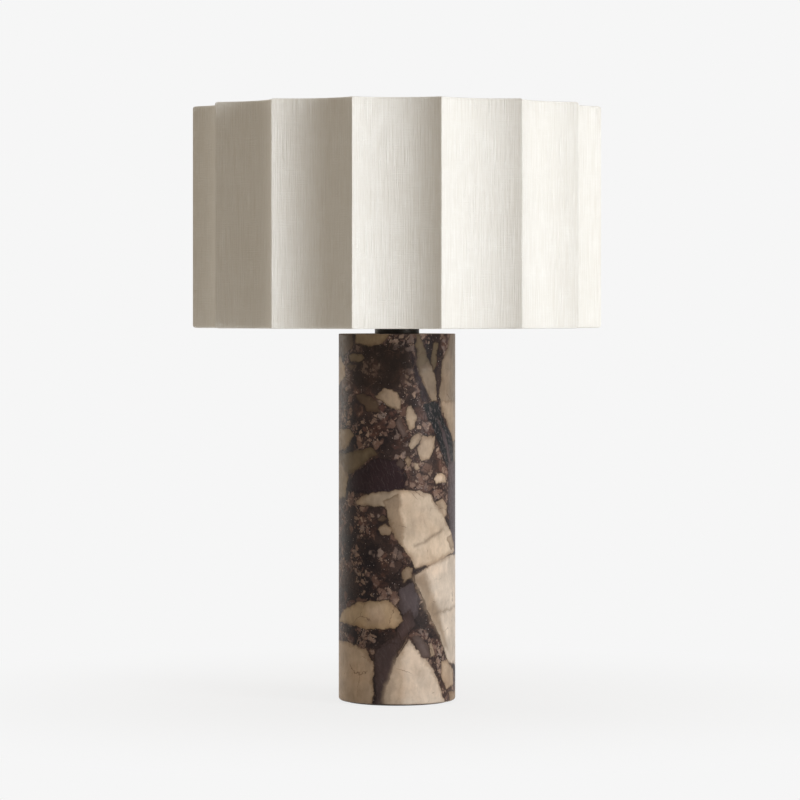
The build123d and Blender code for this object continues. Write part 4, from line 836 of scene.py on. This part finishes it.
def build_felt():
    """A thick disc of felt with a rounded and slightly uneven cut edge."""
    thickness = felt_high.z - felt_low.z
    below = [(step / FELT_RINGS * FELT_FACE, 0.0) for step in range(1, FELT_RINGS)]
    section = below + FELT_RIM + [(share, 1.0) for share, _ in reversed(below)]
    points, faces = [(0, 0, felt_low.z)], []
    for share, level in section:
        for side in range(FELT_SIDES):
            turn = 2 * pi * side / FELT_SIDES
            uneven = 1 - FELT_UNEVEN * (1 + sin(7 * turn) * cos(13 * turn + 1))
            reach = FELT_RADIUS * share * uneven
            points.append((reach * cos(turn), reach * sin(turn), felt_low.z + level * thickness))
    points.append((0, 0, felt_high.z))
    for side in range(FELT_SIDES):
        after = (side + 1) % FELT_SIDES
        faces.append((0, 1 + after, 1 + side))
        for ring in range(len(section) - 1):
            near = 1 + ring * FELT_SIDES
            far = near + FELT_SIDES
            faces.append((near + side, near + after, far + after, far + side))
        last = 1 + (len(section) - 1) * FELT_SIDES
        faces.append((last + side, last + after, len(points) - 1))
    felt = new_mesh("base_felt", points, faces, FINISHES["felt"], smooth=True)
    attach(felt, "lamp_base")
    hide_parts("felt_pad")


build_felt()

# ---------------------------------------------------------------- the stud's thread

_, stud_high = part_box("swivel_stud")
_, washer_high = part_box("spider_washer")
THREAD_CORE = 2.675 * MM
THREAD_DEPTH = 0.5 * MM
THREAD_PITCH = 0.94 * MM
THREAD_HALF = 0.45 * THREAD_PITCH
THREAD_SINK = 0.1 * MM
THREAD_START = washer_high.z + 0.6 * MM
THREAD_END = stud_high.z - 1.2 * MM
THREAD_SIDES = 36


def build_thread():
    """The ridge that winds up the stud, closed at both ends."""
    turns = (THREAD_END - THREAD_START) / THREAD_PITCH
    steps = round(turns * THREAD_SIDES)
    root, crest = THREAD_CORE - THREAD_SINK, THREAD_CORE + THREAD_DEPTH
    section = [(root, -THREAD_HALF), (crest, 0), (root, THREAD_HALF)]
    points, faces = [], []
    for step in range(steps + 1):
        turn = 2 * pi * step / THREAD_SIDES
        height = THREAD_START + THREAD_PITCH * step / THREAD_SIDES
        points += [(reach * cos(turn), reach * sin(turn), height + rise) for reach, rise in section]
    for step in range(steps):
        for side in range(3):
            here, there = 3 * step + side, 3 * step + (side + 1) % 3
            faces.append((here, here + 3, there + 3, there))
    faces += [(0, 1, 2), (3 * steps + 2, 3 * steps + 1, 3 * steps)]
    thread = new_mesh("stud_thread", points, faces, FINISHES["nickel"], smooth=False)
    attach(thread, "swivel")


build_thread()

# ---------------------------------------------------------------- stage, light and camera

FLOOR_HALF = 6.0
FLOOR_DROP = 0.1 * MM

# The floor glows as the background does. Near the lamp a share of it takes light and shadow instead.
SHADOW_NEAR, SHADOW_FAR = 0.10, 0.60
GLOW_NEAR, GLOW_FAR = 0.86, 1.0


def build_floor():
    """A pale floor that keeps the lamp's shadow near it and runs into the background farther out."""
    paint = Paint("floor_pale")
    away = paint.vector("LENGTH", paint.place, output=1)
    paint.set(Base_Color=(0.90, 0.90, 0.90, 1), Roughness=0.9, Specular_IOR_Level=0.1)
    glow = paint.node("ShaderNodeEmission", {"Color": BACKGROUND, "Strength": 1.0}).outputs[0]
    share = paint.ramp(away, SHADOW_NEAR, SHADOW_FAR, GLOW_NEAR, GLOW_FAR)
    share = paint.math("MULTIPLY", paint.seen_by_eye(), share)
    blend = paint.node("ShaderNodeMixShader", {0: share, 1: paint.surface.outputs[0], 2: glow})
    paint.feed(paint.tree.nodes["Material Output"].inputs["Surface"], blend.outputs[0])
    square = ((-1, -1), (1, -1), (1, 1), (-1, 1))
    corners = [(FLOOR_HALF * x, FLOOR_HALF * y, -FLOOR_DROP) for x, y in square]
    floor = new_mesh("floor", corners, [(0, 1, 2, 3)], paint.material, smooth=False)


def build_world(fill):
    """A pale background for the eye, and a soft warm fill for the surfaces."""
    world = bpy.data.worlds.new("studio")
    bpy.context.scene.world = world
    world.use_nodes = True
    nodes = Nodes(world.node_tree)
    backdrop = nodes.tree.nodes["Background"]
    nodes.feed(backdrop.inputs["Color"], BACKGROUND)
    ambient = nodes.node("ShaderNodeBackground", {"Color": fill})
    shaders = {0: nodes.seen_by_eye(), 1: ambient.outputs[0], 2: backdrop.outputs[0]}
    blend = nodes.node("ShaderNodeMixShader", shaders)
    nodes.feed(nodes.tree.nodes["World Output"].inputs["Surface"], blend.outputs[0])


def soft_light(name, place, target, size, power, colour=(1, 1, 1)):
    """A soft box that looks at the target."""
    data = bpy.data.lights.new(name, "AREA")
    data.shape = "RECTANGLE"
    data.size, data.size_y = size
    data.energy = power
    data.color = colour
    light = bpy.data.objects.new(name, data)
    bpy.context.scene.collection.objects.link(light)
    light.location = place
    light.rotation_euler = (Vector(target) - Vector(place)).to_track_quat("-Z", "Y").to_euler()


def build_camera():
    """A level camera, shifted so that the horizon lies on its row of the picture."""
    data = bpy.data.cameras.new("camera")
    data.sensor_width = SENSOR_WIDTH
    data.lens = SENSOR_WIDTH * CAMERA_DISTANCE / (PICTURE_WIDTH * METRES_PER_PIXEL)
    data.shift_y = (HORIZON_ROW - PICTURE_WIDTH / 2) / PICTURE_WIDTH
    camera = bpy.data.objects.new("camera", data)
    bpy.context.scene.collection.objects.link(camera)
    aside = (PICTURE_WIDTH / 2 - LAMP_COLUMN) * METRES_PER_PIXEL
    camera.location = (aside, -CAMERA_DISTANCE, CAMERA_HEIGHT)
    camera.rotation_euler = (pi / 2, 0, 0)
    bpy.context.scene.camera = camera


build_floor()
build_world(fill=(0.262, 0.212, 0.150, 1))
soft_light(
    "key",
    place=(2.15, -1.80, 0.75),
    target=(0, 0, 0.42),
    size=(1.2, 1.5),
    power=60,
    colour=(0.93, 0.965, 1.0),
)
soft_light(
    "left",
    place=(-2.4, 1.9, 0.7),
    target=(0, 0, 0.40),
    size=(1.2, 1.4),
    power=18,
    colour=(1.0, 0.93, 0.80),
)
soft_light("top", place=(0, 0.3, 2.4), target=(0, 0, 0), size=(2.2, 2.2), power=15)
build_camera()

bpy.context.scene.view_settings.view_transform = "Standard"
